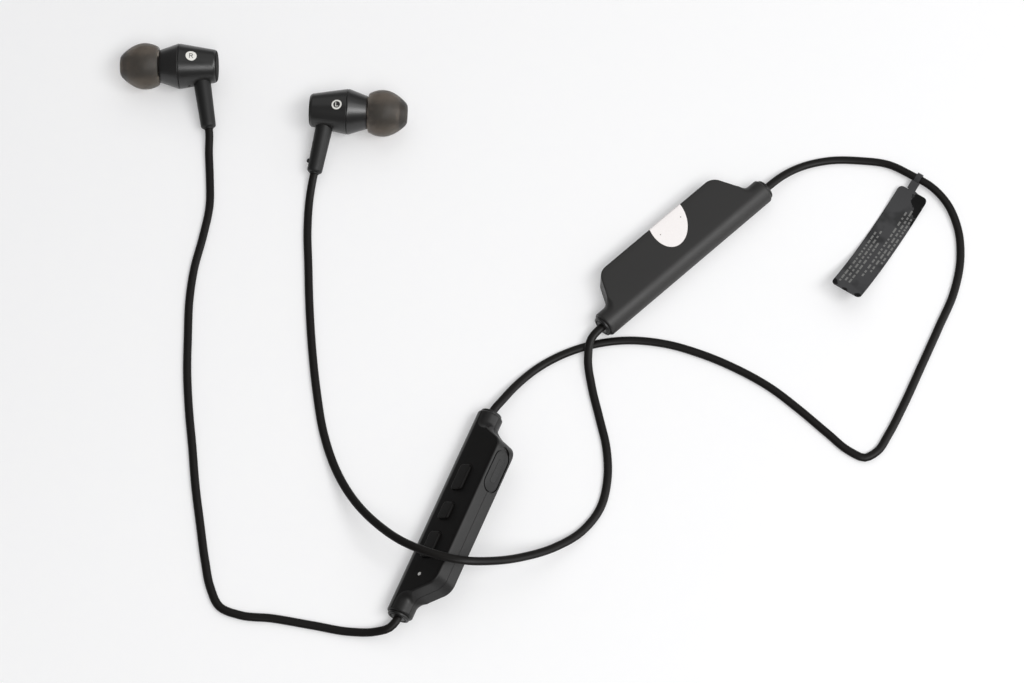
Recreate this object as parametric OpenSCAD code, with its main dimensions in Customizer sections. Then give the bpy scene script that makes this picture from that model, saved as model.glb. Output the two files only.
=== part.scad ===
// Neck-cord earphones: two in-ear buds, an inline control pod, an inline battery pod, three flat cords
// and a film tag. Everything lies on a table at z = 0. Millimetres.

/* [Ear tip] */
// Outer diameter of the soft dome
tip_d = 12; // [11.9:0.1:13.5]
// Length of the dome, from its front ring to the edge of its skirt
tip_len = 9.9; // [9.5:0.1:12]
// Diameter of the front ring
tip_front_d = 5.4; // [5:0.2:7]
// Diameter of the sound opening
tip_mouth_d = 4; // [3:0.2:4.6]
// Thickness of the skirt
tip_skirt_t = 0.6; // [0.4:0.1:0.9]
// Wall of the sleeve that grips the nozzle
tip_sleeve_t = 0.8; // [0.5:0.1:1]
// How far a tip pulls off along the nozzle
tip_pull = 10; // [6:1:14]

/* [Earbud housing] */
// Diameter of the ridge where the two shells meet
bud_d = 11.7; // [11:0.1:11.8]
// Diameter at the front of the cone
bud_front_d = 8.4; // [7.6:0.2:9.4]
// Diameter at the rear end
bud_rear_d = 8.6; // [7.8:0.2:10]
// Length of the front cone
bud_front_len = 5.1; // [4.4:0.1:7]
// Length of the rear shell
bud_rear_len = 9.8; // [9.4:0.1:13]
// Wall of both shells
bud_wall = 0.85; // [0.7:0.05:1]
// Rounding of the rear rim
bud_rim_r = 0.7; // [0.3:0.1:0.8]
// Depth of the socket where the front shell enters the rear one
bud_lap = 1.2; // [0.8:0.1:1.6]
// Diameter of the vent hole in the rear shell
vent_d = 0.7; // [0.5:0.1:0.9]

/* [Nozzle] */
// Length of the nozzle in front of the cone
nozzle_len = 7.4; // [6.6:0.2:7.8]
// Diameter of the stem
nozzle_stem_d = 4.6; // [4.2:0.1:4.8]
// Diameter of the lip that holds the ear tip
nozzle_lip_d = 5.2; // [5:0.1:5.4]
// Length of the lip, and of the collar at its root
nozzle_lip_len = 1.1; // [0.8:0.1:1.4]
// Diameter of the sound bore
nozzle_bore_d = 3.2; // [2.6:0.1:3.4]
// Diameter of the wire mesh
mesh_d = 3.9; // [3.6:0.1:4]
// Thickness of the wire mesh
mesh_t = 0.25; // [0.2:0.05:0.4]
// Diameter of one hole of the mesh
mesh_hole_d = 0.4; // [0.3:0.05:0.45]

/* [Driver] */
// Diameter of the driver basket
driver_d = 9; // [8.4:0.1:9]
// Depth of the driver basket
driver_depth = 3.1; // [2.8:0.1:3.4]
// Diameter of the magnet
magnet_d = 5; // [4:0.2:5.2]
// Thickness of the magnet
magnet_t = 1.5; // [1:0.1:1.6]
// Thickness of the diaphragm film
diaphragm_t = 0.25; // [0.2:0.05:0.3]

/* [Strain relief boot] */
// Length of a boot, from the axis of the housing to its end
boot_len = 17.1; // [15:0.1:18]
// Diameter where the boot leaves the housing
boot_root_d = 4.4; // [4:0.1:4.8]
// Diameter at its end
boot_end_d = 3.9; // [3.4:0.1:4]
// Rounding of its end
boot_round_r = 0.7; // [0.3:0.1:0.9]
// Diameter of the flange that holds it inside the housing
boot_flange_d = 5.2; // [5:0.1:5.4]
// Distance behind the ridge
boot_setback = 5.2; // [5.1:0.1:5.6]
// Diameter of the raised dot that marks the left side by touch
boot_dot_d = 1.2; // [0.8:0.1:1.4]

/* [Pod shells] */
// Length of a pod over its end grommets
pod_len = 57.4; // [56.8:0.2:64]
// Width from the round spine to the straight edge
pod_wide = 13.9; // [13.5:0.1:16]
// Thickness of a pod
pod_thick = 6.4; // [6.2:0.1:7]
// Wall of the shells
pod_wall = 0.9; // [0.8:0.05:1]
// Length of each end, from the straight edge to the face of the grommet
end_len = 11.2; // [10.8:0.1:12]
// Radius of the outer corners
corner_r = 3.6; // [2.8:0.1:3.8]
// Radius of the hollow curves that lead down to the necks
foot_r = 3; // [2.6:0.1:3.4]
// Steepness of the shoulders, in degrees
shoulder_angle = 63; // [58:1:66]
// Rounding along the straight edge
edge_r = 0.4; // [0.2:0.05:0.6]
// Width of the line where the two shells meet
parting_gap = 0.1; // [0.05:0.05:0.15]
// Height of the tongue that locks the shells together
tongue_h = 0.7; // [0.4:0.1:0.9]

/* [End grommets] */
// How far a grommet stands out of its shell
grommet_out = 0.7; // [0.5:0.1:1.2]
// Diameter of its outer ring, which rests on the end of the shell
grommet_d = 5.4; // [5.2:0.1:5.8]
// Diameter of its neck, in the wall of the shell
grommet_neck_d = 3.4; // [3:0.1:3.5]
// Thickness of the inner flange
grommet_flange_t = 0.8; // [0.6:0.1:1]

/* [Buttons] */
// Length of the two volume buttons
button_long = 7; // [6:0.2:7.4]
// Length of the middle button
button_short = 4.6; // [4:0.2:5]
// Width of the buttons
button_wide = 3.4; // [3:0.1:3.8]
// How far they stand above the face
button_rise = 0.5; // [0.4:0.1:0.7]
// Travel of a button
button_travel = 0.3; // [0.2:0.05:0.35]
// Spacing of the buttons
button_pitch = 9.4; // [9.2:0.1:9.8]
// Place of the middle button along the pod
button_mid_x = -0.8; // [-1.2:0.1:-0.6]
// Distance of the buttons from the axis of the spine
button_y = 3.5; // [3.2:0.1:3.8]
// Gap between a button and its opening
button_gap = 0.15; // [0.1:0.05:0.25]

/* [Charging port] */
// Distance of the port from the end of the straight edge
port_back = 5; // [5:0.1:8]
// Length of the port cover
cover_len = 11.3; // [10.6:0.1:11.4]
// Width of the port cover
cover_wide = 4.8; // [4.4:0.1:5]
// Thickness of the port cover
cover_t = 0.4; // [0.3:0.05:0.45]
// Length of the plug on the inside of the cover
plug_len = 6.8; // [6:0.1:7]
// Height of that plug
plug_wide = 2.1; // [1.8:0.1:2.2]
// Width of the charging socket
socket_wide = 7.5; // [7.4:0.05:7.6]
// Height of the charging socket
socket_high = 2.5; // [2.4:0.05:2.6]
// Depth of the charging socket
socket_deep = 4.8; // [4.4:0.1:4.8]

/* [Inside the pods] */
// Thickness of the circuit boards
board_t = 0.75; // [0.6:0.05:0.8]
// Side of a button switch
switch_side = 2.8; // [2.4:0.1:3]
// Height of a button switch without its plunger
switch_h = 1.1; // [0.9:0.1:1.2]
// Diameter of the indicator light pipe
led_d = 0.9; // [0.7:0.05:1.2]
// Distance of the indicator light past the end of the straight edge
led_past = 0.7; // [0.3:0.1:2.1]
// Distance of the indicator light from the axis of the spine
led_y = 4.2; // [3.8:0.1:4.4]
// Diameter of the microphone port
mic_port_d = 0.9; // [0.7:0.05:1.1]
// Gap between the battery cell and the shells, over and under it
cell_face_gap = 0.3; // [0.2:0.1:1]
// Gap between the battery cell and the shells, at its sides
cell_side_gap = 0.2; // [0.2:0.1:1]
// Distance of the battery cell from the end of the straight edge
cell_end_gap = 1.3; // [0.5:0.1:4]
// Length of the protection board
guard_len = 5; // [4:0.1:7]

/* [Seal on the battery pod] */
// Length of the seal along the straight edge
seal_long = 10.6; // [8:0.2:12]
// Depth of the seal on the face
seal_deep = 7.6; // [5:0.2:8]
// Thickness of the seal
seal_t = 0.1; // [0.08:0.02:0.16]

/* [Cords] */
// Width of the flat cord
cord_wide = 2.1; // [1.8:0.1:2.3]
// Thickness of the flat cord
cord_thick = 1.4; // [1.1:0.1:1.5]

/* [Tag] */
// Length of the film tag
tag_len = 35.5; // [28:0.5:36]
// Width of the film tag
tag_wide = 8; // [6:0.5:10]
// Thickness of the film
tag_t = 0.3; // [0.2:0.05:0.4]
// Width of the neck between the tag and its loop
tag_neck = 2.3; // [1.6:0.1:3]
// Radius to which the film curls
tag_curl_r = 50; // [40:1:70]

/* [Hidden] */
$fn = 48;

// Colours
black_satin = [0.09, 0.09, 0.09];
black_matt = [0.16, 0.155, 0.15];
black_rubber = [0.11, 0.11, 0.105];
smoky_silicone = [0.36, 0.34, 0.31];
steel = [0.68, 0.68, 0.68];
board_green = [0.1, 0.32, 0.2];
film_black = [0.2, 0.2, 0.2];

// Small shared clearances
slip_gap = 0.05;
seat_gap = 0.3;
eps = 0.01;

// ---- Placement on the table ----
bud_z = tip_d / 2;
right_pos = [-68.1, 71.9, bud_z];
left_pos = [-24.2, 58.4, bud_z];
left_yaw = -3;
boot_dip = 12.8;
right_boot_slant = 9.3;
left_boot_slant = 8.5;
pod_r = pod_thick / 2;
control_pos = [1.9, -51.6, pod_r];
control_yaw = 67.3;
control_roll = 40;
battery_pos = [61.5, 17.9, pod_r];
battery_yaw = 42.7;

// A vector turned about the vertical
function turn_z(p, a) = [p[0] * cos(a) - p[1] * sin(a), p[0] * sin(a) + p[1] * cos(a), p[2]];

// A point of an earbud, from its own frame: x towards the ear tip, z up
function bud_point(side, p) =
  side == "left" ? left_pos + turn_z(p, left_yaw) : right_pos + [-p[0], p[1], p[2]];

function boot_slant(side) = side == "left" ? left_boot_slant : right_boot_slant;
function boot_direction(side) =
  [-sin(boot_slant(side)) * cos(boot_dip), -cos(boot_slant(side)) * cos(boot_dip), -sin(boot_dip)];
function boot_end(side) = bud_point(side, [-boot_setback, 0, 0] + boot_len * boot_direction(side));
function boot_heading(side) = bud_point(side, boot_direction(side)) - bud_point(side, [0, 0, 0]);

function control_axis() = turn_z([1, 0, 0], control_yaw);
function battery_axis() = turn_z([1, 0, 0], battery_yaw);

// side is -1 for the lower end and 1 for the upper end
function control_end(side) = control_pos + side * pod_len / 2 * control_axis();
function battery_end(side) = battery_pos + side * pod_len / 2 * battery_axis();

module place_bud(side) {
  if (side == "left") translate(left_pos) rotate([0, 0, left_yaw]) children();
  else translate(right_pos) mirror([1, 0, 0]) children();
}

// A pod's own frame: x along the spine, y towards the straight edge, z out of the front face
module place_control() {
  translate(control_pos) rotate([0, 0, control_yaw]) rotate([-control_roll, 0, 0]) mirror([0, 1, 0])
    children();
}

module place_battery() {
  translate(battery_pos) rotate([0, 0, battery_yaw]) children();
}

// Turns a revolved piece so that its axis points along x
module along_x() {
  rotate([0, 90, 0]) children();
}

function arc(cx, cy, r, from, to, steps) =
  [for (i = [0:steps]) let (a = from + (to - from) * i / steps) [cx + r * cos(a), cy + r * sin(a)]];

// ---- Ear tip ----
tip_gap = 0.25;
tip_rear = bud_front_len + tip_gap;
tip_front = tip_rear + tip_len;
crown_share = 0.62;
crown = tip_front - crown_share * tip_len;
front_reach = crown_share * tip_len / sqrt(1 - pow(tip_front_d / tip_d, 2));
skirt_reach = 9.3;
sleeve_bore_r = nozzle_lip_d / 2 + slip_gap;
sleeve_r = sleeve_bore_r + tip_sleeve_t;
nozzle_end = bud_front_len + nozzle_len;
sleeve_rear = tip_rear + 0.6;
pocket_end = tip_front - 3.4;
dome_steps = 14;

// Radius of the dome at a place along the axis
function dome_r(u) =
  tip_d / 2 * sqrt(1 - pow((u - crown) / (u > crown ? front_reach : skirt_reach), 2));

module ear_tip() {
  outer = [for (i = [0:dome_steps]) let (u = tip_front - tip_len * i / dome_steps) [dome_r(u), u]];
  skirt_inside = [for (i = [0:4]) let (u = tip_rear + (pocket_end - tip_rear) * i / 4)
    [dome_r(u) - tip_skirt_t, u]];
  profile = concat(outer, skirt_inside, [
    [sleeve_r, pocket_end],
    [sleeve_r, sleeve_rear],
    [sleeve_bore_r, sleeve_rear],
    [sleeve_bore_r, nozzle_end + tip_gap],
    [tip_mouth_d / 2, nozzle_end + tip_gap + 0.4],
    [tip_mouth_d / 2, tip_front - 0.3],
    [tip_mouth_d / 2 + 0.3, tip_front]
  ]);
  color(smoky_silicone) along_x() rotate_extrude() polygon(profile);
}

// ---- Earbud housing ----
bud_r = bud_d / 2;
lap_r = bud_r - bud_wall;
basket_r = driver_d / 2;
basket_seat_r = basket_r + slip_gap;
chamber_depth = 0.9;
chamber_r = bud_front_d / 2 - bud_wall;
mesh_recess = mesh_t + 0.1;

module front_shell() {
  profile = [
    [basket_seat_r, -bud_lap],
    [lap_r - slip_gap, -bud_lap],
    [lap_r - slip_gap, 0],
    [bud_r, 0],
    [bud_r, 0.3],
    [bud_front_d / 2 + 0.15, bud_front_len - 0.15],
    [bud_front_d / 2, bud_front_len],
    [nozzle_lip_d / 2, bud_front_len],
    [nozzle_lip_d / 2, bud_front_len + nozzle_lip_len],
    [nozzle_stem_d / 2, bud_front_len + nozzle_lip_len],
    [nozzle_stem_d / 2, nozzle_end - nozzle_lip_len],
    [nozzle_lip_d / 2, nozzle_end - nozzle_lip_len],
    [nozzle_lip_d / 2, nozzle_end - 0.3],
    [nozzle_lip_d / 2 - 0.3, nozzle_end],
    [mesh_d / 2 + slip_gap, nozzle_end],
    [mesh_d / 2 + slip_gap, nozzle_end - mesh_recess],
    [nozzle_bore_d / 2, nozzle_end - mesh_recess],
    [nozzle_bore_d / 2, bud_front_len - 1.2],
    [chamber_r, chamber_depth + 0.8],
    [chamber_r, chamber_depth],
    [basket_seat_r, chamber_depth]
  ];
  color(black_satin) along_x() rotate_extrude() polygon(profile);
}

// Rings of round holes in a thin disc
module nozzle_mesh() {
  hole_pitch = 0.75;
  color(steel) along_x() translate([0, 0, nozzle_end - mesh_t - 0.05]) difference() {
    cylinder(d = mesh_d, h = mesh_t);
    for (ring = [0:2], i = [0:max(0, 6 * ring - 1)])
      rotate([0, 0, ring == 0 ? 0 : 60 * i / ring])
        translate([ring * hole_pitch, 0, -eps])
          cylinder(d = mesh_hole_d, h = mesh_t + 2 * eps, $fn = 16);
  }
}

// Radius of the rear shell at a distance behind the ridge
function rear_r(back) = bud_r + (bud_rear_d / 2 - bud_r) * back / bud_rear_len;

module rear_shell(side) {
  floor_z = bud_rear_len - bud_wall - 0.15;
  rim = arc(bud_rear_d / 2 - bud_rim_r, -bud_rear_len + bud_rim_r, bud_rim_r, 0, -90, 5);
  profile = concat(
    [[bud_r, -parting_gap], [bud_r, -0.3]],
    rim,
    [
      [0, -bud_rear_len],
      [0, -floor_z],
      [rear_r(floor_z) - bud_wall, -floor_z],
      [rear_r(bud_lap) - bud_wall, -bud_lap - 0.2],
      [lap_r, -bud_lap - 0.2],
      [lap_r, -parting_gap]
    ]
  );
  vent_turn = side == "left" ? -10 : 190;
  vent_back = 2.6;
  color(black_satin) difference() {
    along_x() rotate_extrude() polygon(profile);
    boot_frame(side) translate([0, 0, boot_shoulder]) cylinder(d = boot_root_d + 2 * slip_gap, h = bud_d);
    translate([-vent_back, 0, 0]) rotate([vent_turn, 0, 0]) rotate([-90, 0, 0])
      translate([0, 0, bud_r / 2]) cylinder(d = vent_d, h = bud_r, $fn = 24);
  }
}

// ---- Driver ----
basket_front = 0.8;
basket_back = basket_front - driver_depth;
basket_wall = 0.45;
coil_gap = 0.2;
coil_t = 0.3;
suspension_z = 0.1;

module driver_basket() {
  profile = [
    [0, basket_back],
    [basket_r, basket_back],
    [basket_r, basket_front],
    [basket_r - basket_wall, basket_front],
    [basket_r - basket_wall, suspension_z],
    [basket_r - 2 * basket_wall, suspension_z],
    [basket_r - 2 * basket_wall, basket_back + basket_wall],
    [0, basket_back + basket_wall]
  ];
  color(steel) along_x() rotate_extrude() polygon(profile);
}

module driver_magnet() {
  color(steel) along_x() translate([0, 0, basket_back + basket_wall]) cylinder(d = magnet_d, h = magnet_t);
}

// The film dome with its voice coil, which stands in the gap round the magnet
module driver_diaphragm() {
  coil_r = magnet_d / 2 + coil_gap;
  rim_r = basket_r - basket_wall - slip_gap;
  dome = [for (i = [0:6]) [coil_r * cos(15 * i), suspension_z + diaphragm_t + 0.4 * sin(15 * i)]];
  profile = concat(
    [
      [rim_r, suspension_z],
      [rim_r, suspension_z + diaphragm_t],
      [coil_r + coil_t, suspension_z + diaphragm_t]
    ],
    dome,
    [
      [0, suspension_z + 0.4],
      [coil_r - 0.1, suspension_z + 0.1],
      [coil_r, suspension_z - 1.3],
      [coil_r + coil_t, suspension_z - 1.3],
      [coil_r + coil_t, suspension_z]
    ]
  );
  color("gold") along_x() rotate_extrude() polygon(profile);
}

// ---- Strain relief boot ----
boot_flange_t = 0.7;
boot_shoulder = sqrt(pow(rear_r(boot_setback) - bud_wall - 0.25, 2) - pow(boot_flange_d / 2, 2)) - slip_gap;

module boot_frame(side) {
  translate([-boot_setback, 0, 0]) rotate([0, 90 + boot_dip, 270 - boot_slant(side)]) children();
}

module boot(side) {
  ring_t = 0.3;
  ring_r = boot_end_d / 2 - boot_round_r;
  dot_place = boot_len - 3.2;
  end_round = arc(ring_r, boot_len - ring_t - boot_round_r, boot_round_r, 0, 90, 5);
  profile = concat(
    [
      [0, boot_shoulder - boot_flange_t],
      [boot_flange_d / 2, boot_shoulder - boot_flange_t],
      [boot_flange_d / 2, boot_shoulder],
      [boot_root_d / 2, boot_shoulder],
      [boot_root_d / 2, bud_r]
    ],
    end_round,
    [[ring_r, boot_len], [0, boot_len]]
  );
  color(black_rubber) boot_frame(side) {
    rotate_extrude() polygon(profile);
    if (side == "left") rotate([0, 0, -90]) translate([boot_end_d / 2 + 0.05, 0, dot_place])
      sphere(d = boot_dot_d);
  }
}

// ---- Pod shells ----
pod_edge = pod_wide - pod_r;
edge_half = pod_len / 2 - end_len;
rise_angle = 90 - shoulder_angle;
neck_r = pod_r + 0.01;
foot_level = pod_r + 0.1;
corner_c = [edge_half, pod_edge - corner_r];
foot_drop = foot_level + foot_r - corner_c[1];
foot_x = corner_c[0] + (corner_r + foot_r - foot_drop * sin(rise_angle)) / cos(rise_angle);
foot_c = [foot_x, foot_level + foot_r];
shell_end = pod_len / 2 - grommet_out;
end_wall = 1;
cavity_end = shell_end - end_wall;
spine_steps = 20;
curve_steps = 6;
lock_gap = 0.05;
tongue_in = pod_wall / 2 + lock_gap;
tongue_half = cavity_end - grommet_flange_t - 0.4;

function flipped(points) = [for (i = [len(points) - 1:-1:0]) [-points[i][0], points[i][1]]];

// The hollow curve at the foot of a shoulder, moved in by an even amount
function foot(inset) = arc(foot_c[0], foot_c[1], foot_r + inset, 180 + rise_angle, 270, curve_steps);

// The whole shoulder from the straight edge down to the neck
function shoulder(inset) = concat(
  arc(corner_c[0], corner_c[1], corner_r - inset, 90, rise_angle, curve_steps),
  foot(inset),
  [[pod_len, foot_level - inset]]
);

// Outline of a pod seen on its face
function pod_outline(inset) = concat(
  flipped(shoulder(inset)),
  shoulder(inset),
  [[pod_len, -pod_wide], [-pod_len, -pod_wide]]
);

// Cross-section of a pod: a round spine on one side and a flat edge on the other
function pod_section(inset) = let (r = pod_r - inset, e = max(0.05, edge_r - inset)) concat(
  arc(0, 0, r, 90, 270, spine_steps),
  arc(pod_edge - inset - e, -r + e, e, 270, 360, 3),
  arc(pod_edge - inset - e, r - e, e, 0, 90, 3)
);

// A round body that draws both ends of a pod in to a round neck
module neck_body(inset, half_len) {
  flare = 2.5;
  wide = pod_wide;
  narrow = neck_r - inset;
  curve = [for (p = foot(inset)) [narrow + flare * (p[1] - foot_level + inset), p[0]]];
  half = concat([[wide, edge_half]], curve, [[narrow, half_len], [0, half_len]]);
  other = [for (i = [len(half) - 1:-1:0]) [half[i][0], -half[i][1]]];
  along_x() rotate_extrude() polygon(concat(half, other));
}

// A pod's form: its section run along x, cut to its outline, and drawn in to a neck at each end
module pod_form(inset, half_len) {
  intersection() {
    translate([-pod_len / 2, 0, 0]) rotate([90, 0, 90]) linear_extrude(pod_len) polygon(pod_section(inset));
    translate([0, 0, -pod_thick]) linear_extrude(2 * pod_thick) polygon(pod_outline(inset));
    neck_body(inset, half_len);
  }
}

// The half of space on one side of the parting plane; face is 1 for the front and -1 for the rear
module half_space(face, gap) {
  side = 2 * pod_len;
  translate([-side / 2, -side / 2, face > 0 ? gap : -side - gap]) cube(side);
}

// A slab along the parting plane
module parting_slab(low, high, half_len) {
  translate([-half_len, -pod_len, low]) cube([2 * half_len, 2 * pod_len, high - low]);
}

module both_ends() {
  children();
  mirror([1, 0, 0]) children();
}

// One half shell of a pod, with its tongue (rear) or its groove (front)
module half_shell(face) {
  difference() {
    intersection() {
      pod_form(0, shell_end);
      half_space(face, parting_gap / 2);
    }
    pod_form(pod_wall, cavity_end);
    both_ends() translate([cavity_end - eps, 0, 0]) along_x()
      cylinder(d = grommet_neck_d + 2 * slip_gap, h = pod_len);
    if (face > 0) intersection() {
      pod_form(tongue_in - 2 * lock_gap, cavity_end);
      parting_slab(-eps, tongue_h + 2 * lock_gap, tongue_half + 2 * lock_gap);
    }
  }
  if (face < 0) difference() {
    intersection() {
      pod_form(tongue_in, cavity_end);
      parting_slab(-parting_gap, tongue_h, tongue_half);
    }
    pod_form(pod_wall, cavity_end + eps);
  }
}

module grommet() {
  inner = cavity_end - slip_gap;
  flange_r = pod_r - pod_wall - 0.1;
  ring_r = grommet_d / 2;
  rim = 0.2;
  groove = 0.3;
  groove_r = ring_r - 0.6;
  profile = [
    [0, inner - grommet_flange_t],
    [flange_r, inner - grommet_flange_t],
    [flange_r, inner],
    [grommet_neck_d / 2, inner],
    [grommet_neck_d / 2, shell_end + slip_gap],
    [ring_r, shell_end + slip_gap],
    [ring_r, pod_len / 2 - rim],
    [ring_r - rim, pod_len / 2],
    [groove_r, pod_len / 2],
    [groove_r, pod_len / 2 - groove],
    [groove_r - groove, pod_len / 2 - groove],
    [groove_r - groove, pod_len / 2],
    [0, pod_len / 2]
  ];
  color(black_rubber) along_x() rotate_extrude() polygon(profile);
}

// ---- Control pod ----
cavity_z = pod_r - pod_wall;
board_top = -socket_high / 2;
recess_deep = 0.55;
cover_gap = 0.15;
port_x = edge_half - port_back;
led_x = -edge_half - led_past;
socket_face = pod_edge - pod_wall - 0.4;

// A slot with round ends along x, cut with true round walls
module slot(len, wide, high) {
  run = len - wide;
  translate([-run / 2, -wide / 2, 0]) cube([run, wide, high]);
  for (s = [-1, 1]) translate([s * run / 2, 0, 0]) cylinder(d = wide, h = high);
}

// A block with rounded upright corners, made of true round corners
module pad(len, wide, high, r) {
  translate([-len / 2 + r, -wide / 2, 0]) cube([len - 2 * r, wide, high]);
  translate([-len / 2, -wide / 2 + r, 0]) cube([len, wide - 2 * r, high]);
  for (sx = [-1, 1], sy = [-1, 1])
    translate([sx * (len / 2 - r), sy * (wide / 2 - r), 0]) cylinder(r = r, h = high, $fn = 24);
}

// Turns z out of the straight edge of a pod
module on_edge(x) {
  translate([x, pod_edge, 0]) rotate([-90, 0, 0]) children();
}

button_r = 0.8;
button_flange = 0.5;
button_flange_t = 0.5;

function button_len(slot_no) = slot_no == 0 ? button_short : button_long;

// slot_no is 1 for volume up, 0 for play and -1 for volume down
module button_opening(slot_no) {
  translate([button_mid_x + slot_no * button_pitch, button_y, 0])
    pad(button_len(slot_no) + 2 * button_gap, button_wide + 2 * button_gap, 2 * pod_r, button_r + button_gap);
}

module control_front_shell() {
  color(black_satin) place_control() difference() {
    half_shell(1);
    for (slot_no = [-1:1]) button_opening(slot_no);
    translate([led_x, led_y, 0]) cylinder(d = led_d + 2 * slip_gap, h = pod_thick);
    port_cut();
  }
}

module control_rear_shell() {
  color(black_satin) place_control() difference() {
    half_shell(-1);
    port_cut();
    translate([mic_x, mic_y, -pod_thick]) cylinder(d = mic_port_d, h = pod_thick);
  }
}

// The recess for the cover and the way in for the charging plug
module port_cut() {
  on_edge(port_x) {
    translate([0, 0, -recess_deep]) slot(cover_len + 2 * cover_gap, cover_wide + 2 * cover_gap, pod_wide);
    translate([0, 0, -2 * pod_wall - 0.3]) pad(socket_wide + 0.5, socket_high + 0.5, pod_wide, 0.6);
  }
}

module button(slot_no) {
  stem_d = 1.8;
  stem_end = board_top + switch_h + plunger_h + button_travel + 0.05;
  flange_top = cavity_z - 0.1;
  brim = 0.2;
  face = pod_r + button_rise;
  color(black_rubber) place_control() translate([button_mid_x + slot_no * button_pitch, button_y, 0]) {
    translate([0, 0, flange_top - eps])
      pad(button_len(slot_no), button_wide, face - brim - flange_top + eps, button_r);
    translate([0, 0, face - brim - eps])
      pad(button_len(slot_no) - brim, button_wide - brim, brim + eps, button_r - brim / 2);
    translate([0, 0, flange_top - button_flange_t])
      pad(button_len(slot_no) + 2 * button_flange, button_wide + button_flange, button_flange_t, button_r);
    translate([0, switch_y - button_y, stem_end]) cylinder(d = stem_d, h = flange_top - stem_end);
  }
}

module port_cover() {
  plug_deep = 0.5;
  color(black_rubber) place_control() on_edge(port_x) {
    translate([0, 0, -cover_t]) slot(cover_len, cover_wide, cover_t);
    translate([0, 0, -cover_t - plug_deep]) pad(plug_len, plug_wide, plug_deep + eps, 0.6);
    pad(cover_len - cover_wide, 1.6, 0.08, 0.5);
  }
}

module charging_socket() {
  skin = 0.3;
  color(steel) place_control() on_edge(port_x) translate([0, 0, socket_face - pod_edge - socket_deep]) {
    difference() {
      pad(socket_wide, socket_high, socket_deep, 0.5);
      translate([0, 0, skin]) pad(socket_wide - 2 * skin, socket_high - 2 * skin, socket_deep, 0.3);
    }
    translate([-1.8, -0.3, skin / 2]) cube([3.6, 0.6, socket_deep - 1]);
  }
}

board_low_x = led_x - 1.4;
board_high_x = edge_half + 0.7;
board_low_y = -0.6;
board_inset = pod_wall + 0.3;
mic_x = led_x + 3.8;
mic_y = 6.4;
plunger_h = 0.3;
switch_y = button_y - 1;

module control_board() {
  color(board_green) place_control() translate([0, 0, board_top - board_t]) difference() {
    linear_extrude(board_t) intersection() {
      polygon(pod_outline(board_inset));
      translate([board_low_x, board_low_y]) square([board_high_x - board_low_x, pod_wide]);
    }
    translate([mic_x, mic_y, -eps]) cylinder(d = mic_port_d, h = board_t + 2 * eps);
  }
}

module button_switches() {
  color(steel) place_control() for (slot_no = [-1:1])
    translate([button_mid_x + slot_no * button_pitch, switch_y, board_top]) {
      translate([-switch_side / 2, -switch_side / 2, 0]) cube([switch_side, switch_side, switch_h]);
      cylinder(d = 1.6, h = switch_h + plunger_h);
    }
}

module radio_chip() {
  chip = 4;
  chip_x = button_mid_x - button_pitch / 2;
  color("dimgray") place_control() translate([chip_x - chip / 2, button_y - chip / 2, board_top])
    cube([chip, chip, 0.9]);
}

module indicator_lens() {
  foot_d = 1.8;
  color("white") place_control() translate([led_x, led_y, board_top]) {
    cylinder(d = foot_d, h = cavity_z - board_top - 0.1);
    cylinder(d = led_d, h = pod_r - board_top);
  }
}

module microphone() {
  can = [2.8, 2, 1];
  color("silver") place_control() translate([mic_x - can[0] / 2, mic_y - can[1] / 2, board_top]) cube(can);
}

// ---- Battery pod ----
module battery_front_shell() {
  color(black_matt) place_battery() half_shell(1);
}

module battery_rear_shell() {
  color(black_matt) place_battery() half_shell(-1);
}

cell_low = [cell_end_gap - edge_half, 0.2];
cell_high = [edge_half - guard_len - seat_gap, pod_edge - pod_wall - cell_side_gap];
cell_t = 2 * (cavity_z - cell_face_gap);

module battery_cell() {
  color("silver") place_battery()
    translate([(cell_low[0] + cell_high[0]) / 2, (cell_low[1] + cell_high[1]) / 2, -cell_t / 2])
      pad(cell_high[0] - cell_low[0], cell_high[1] - cell_low[1], cell_t, 0.5);
}

module protection_board() {
  guard_wide = 7;
  chip = [2.6, 3, 0.9];
  color(board_green) place_battery()
    translate([cell_high[0] + seat_gap, cell_low[1] + 0.4, -cavity_z + seat_gap]) {
      cube([guard_len, guard_wide, board_t]);
      translate([1, 1.5, board_t]) cube(chip);
    }
}

// Place of the seal along the pod, and how far it folds down over the edge
seal_x = 2.9;
seal_fold = 2.4;

// An oval disc standing on z = 0
module oval_disc(long, wide, high) {
  steps = 48;
  linear_extrude(high) polygon([
    for (i = [0:steps - 1]) let (a = 360 * i / steps) [long / 2 * cos(a), wide / 2 * sin(a)]
  ]);
}

// A thin half oval on the front face that folds down over the straight edge
module edge_seal() {
  fold_y = pod_edge - edge_r;
  fold_z = pod_r - edge_r;
  color("white") place_battery() translate([seal_x - seal_long / 2, 0, 0]) {
    intersection() {
      translate([seal_long / 2, fold_y, pod_r]) oval_disc(seal_long, 2 * seal_deep, seal_t);
      translate([0, fold_y - seal_deep, 0]) cube([seal_long, seal_deep, pod_thick]);
    }
    intersection() {
      translate([0, fold_y, fold_z]) along_x() difference() {
        cylinder(r = edge_r + seal_t, h = seal_long);
        translate([0, 0, -eps]) cylinder(r = edge_r, h = seal_long + 2 * eps);
      }
      translate([0, fold_y, fold_z]) cube([seal_long, pod_r, pod_r]);
    }
    translate([0, pod_edge, fold_z - seal_fold]) cube([seal_long, seal_t, seal_fold]);
  }
}

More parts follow.
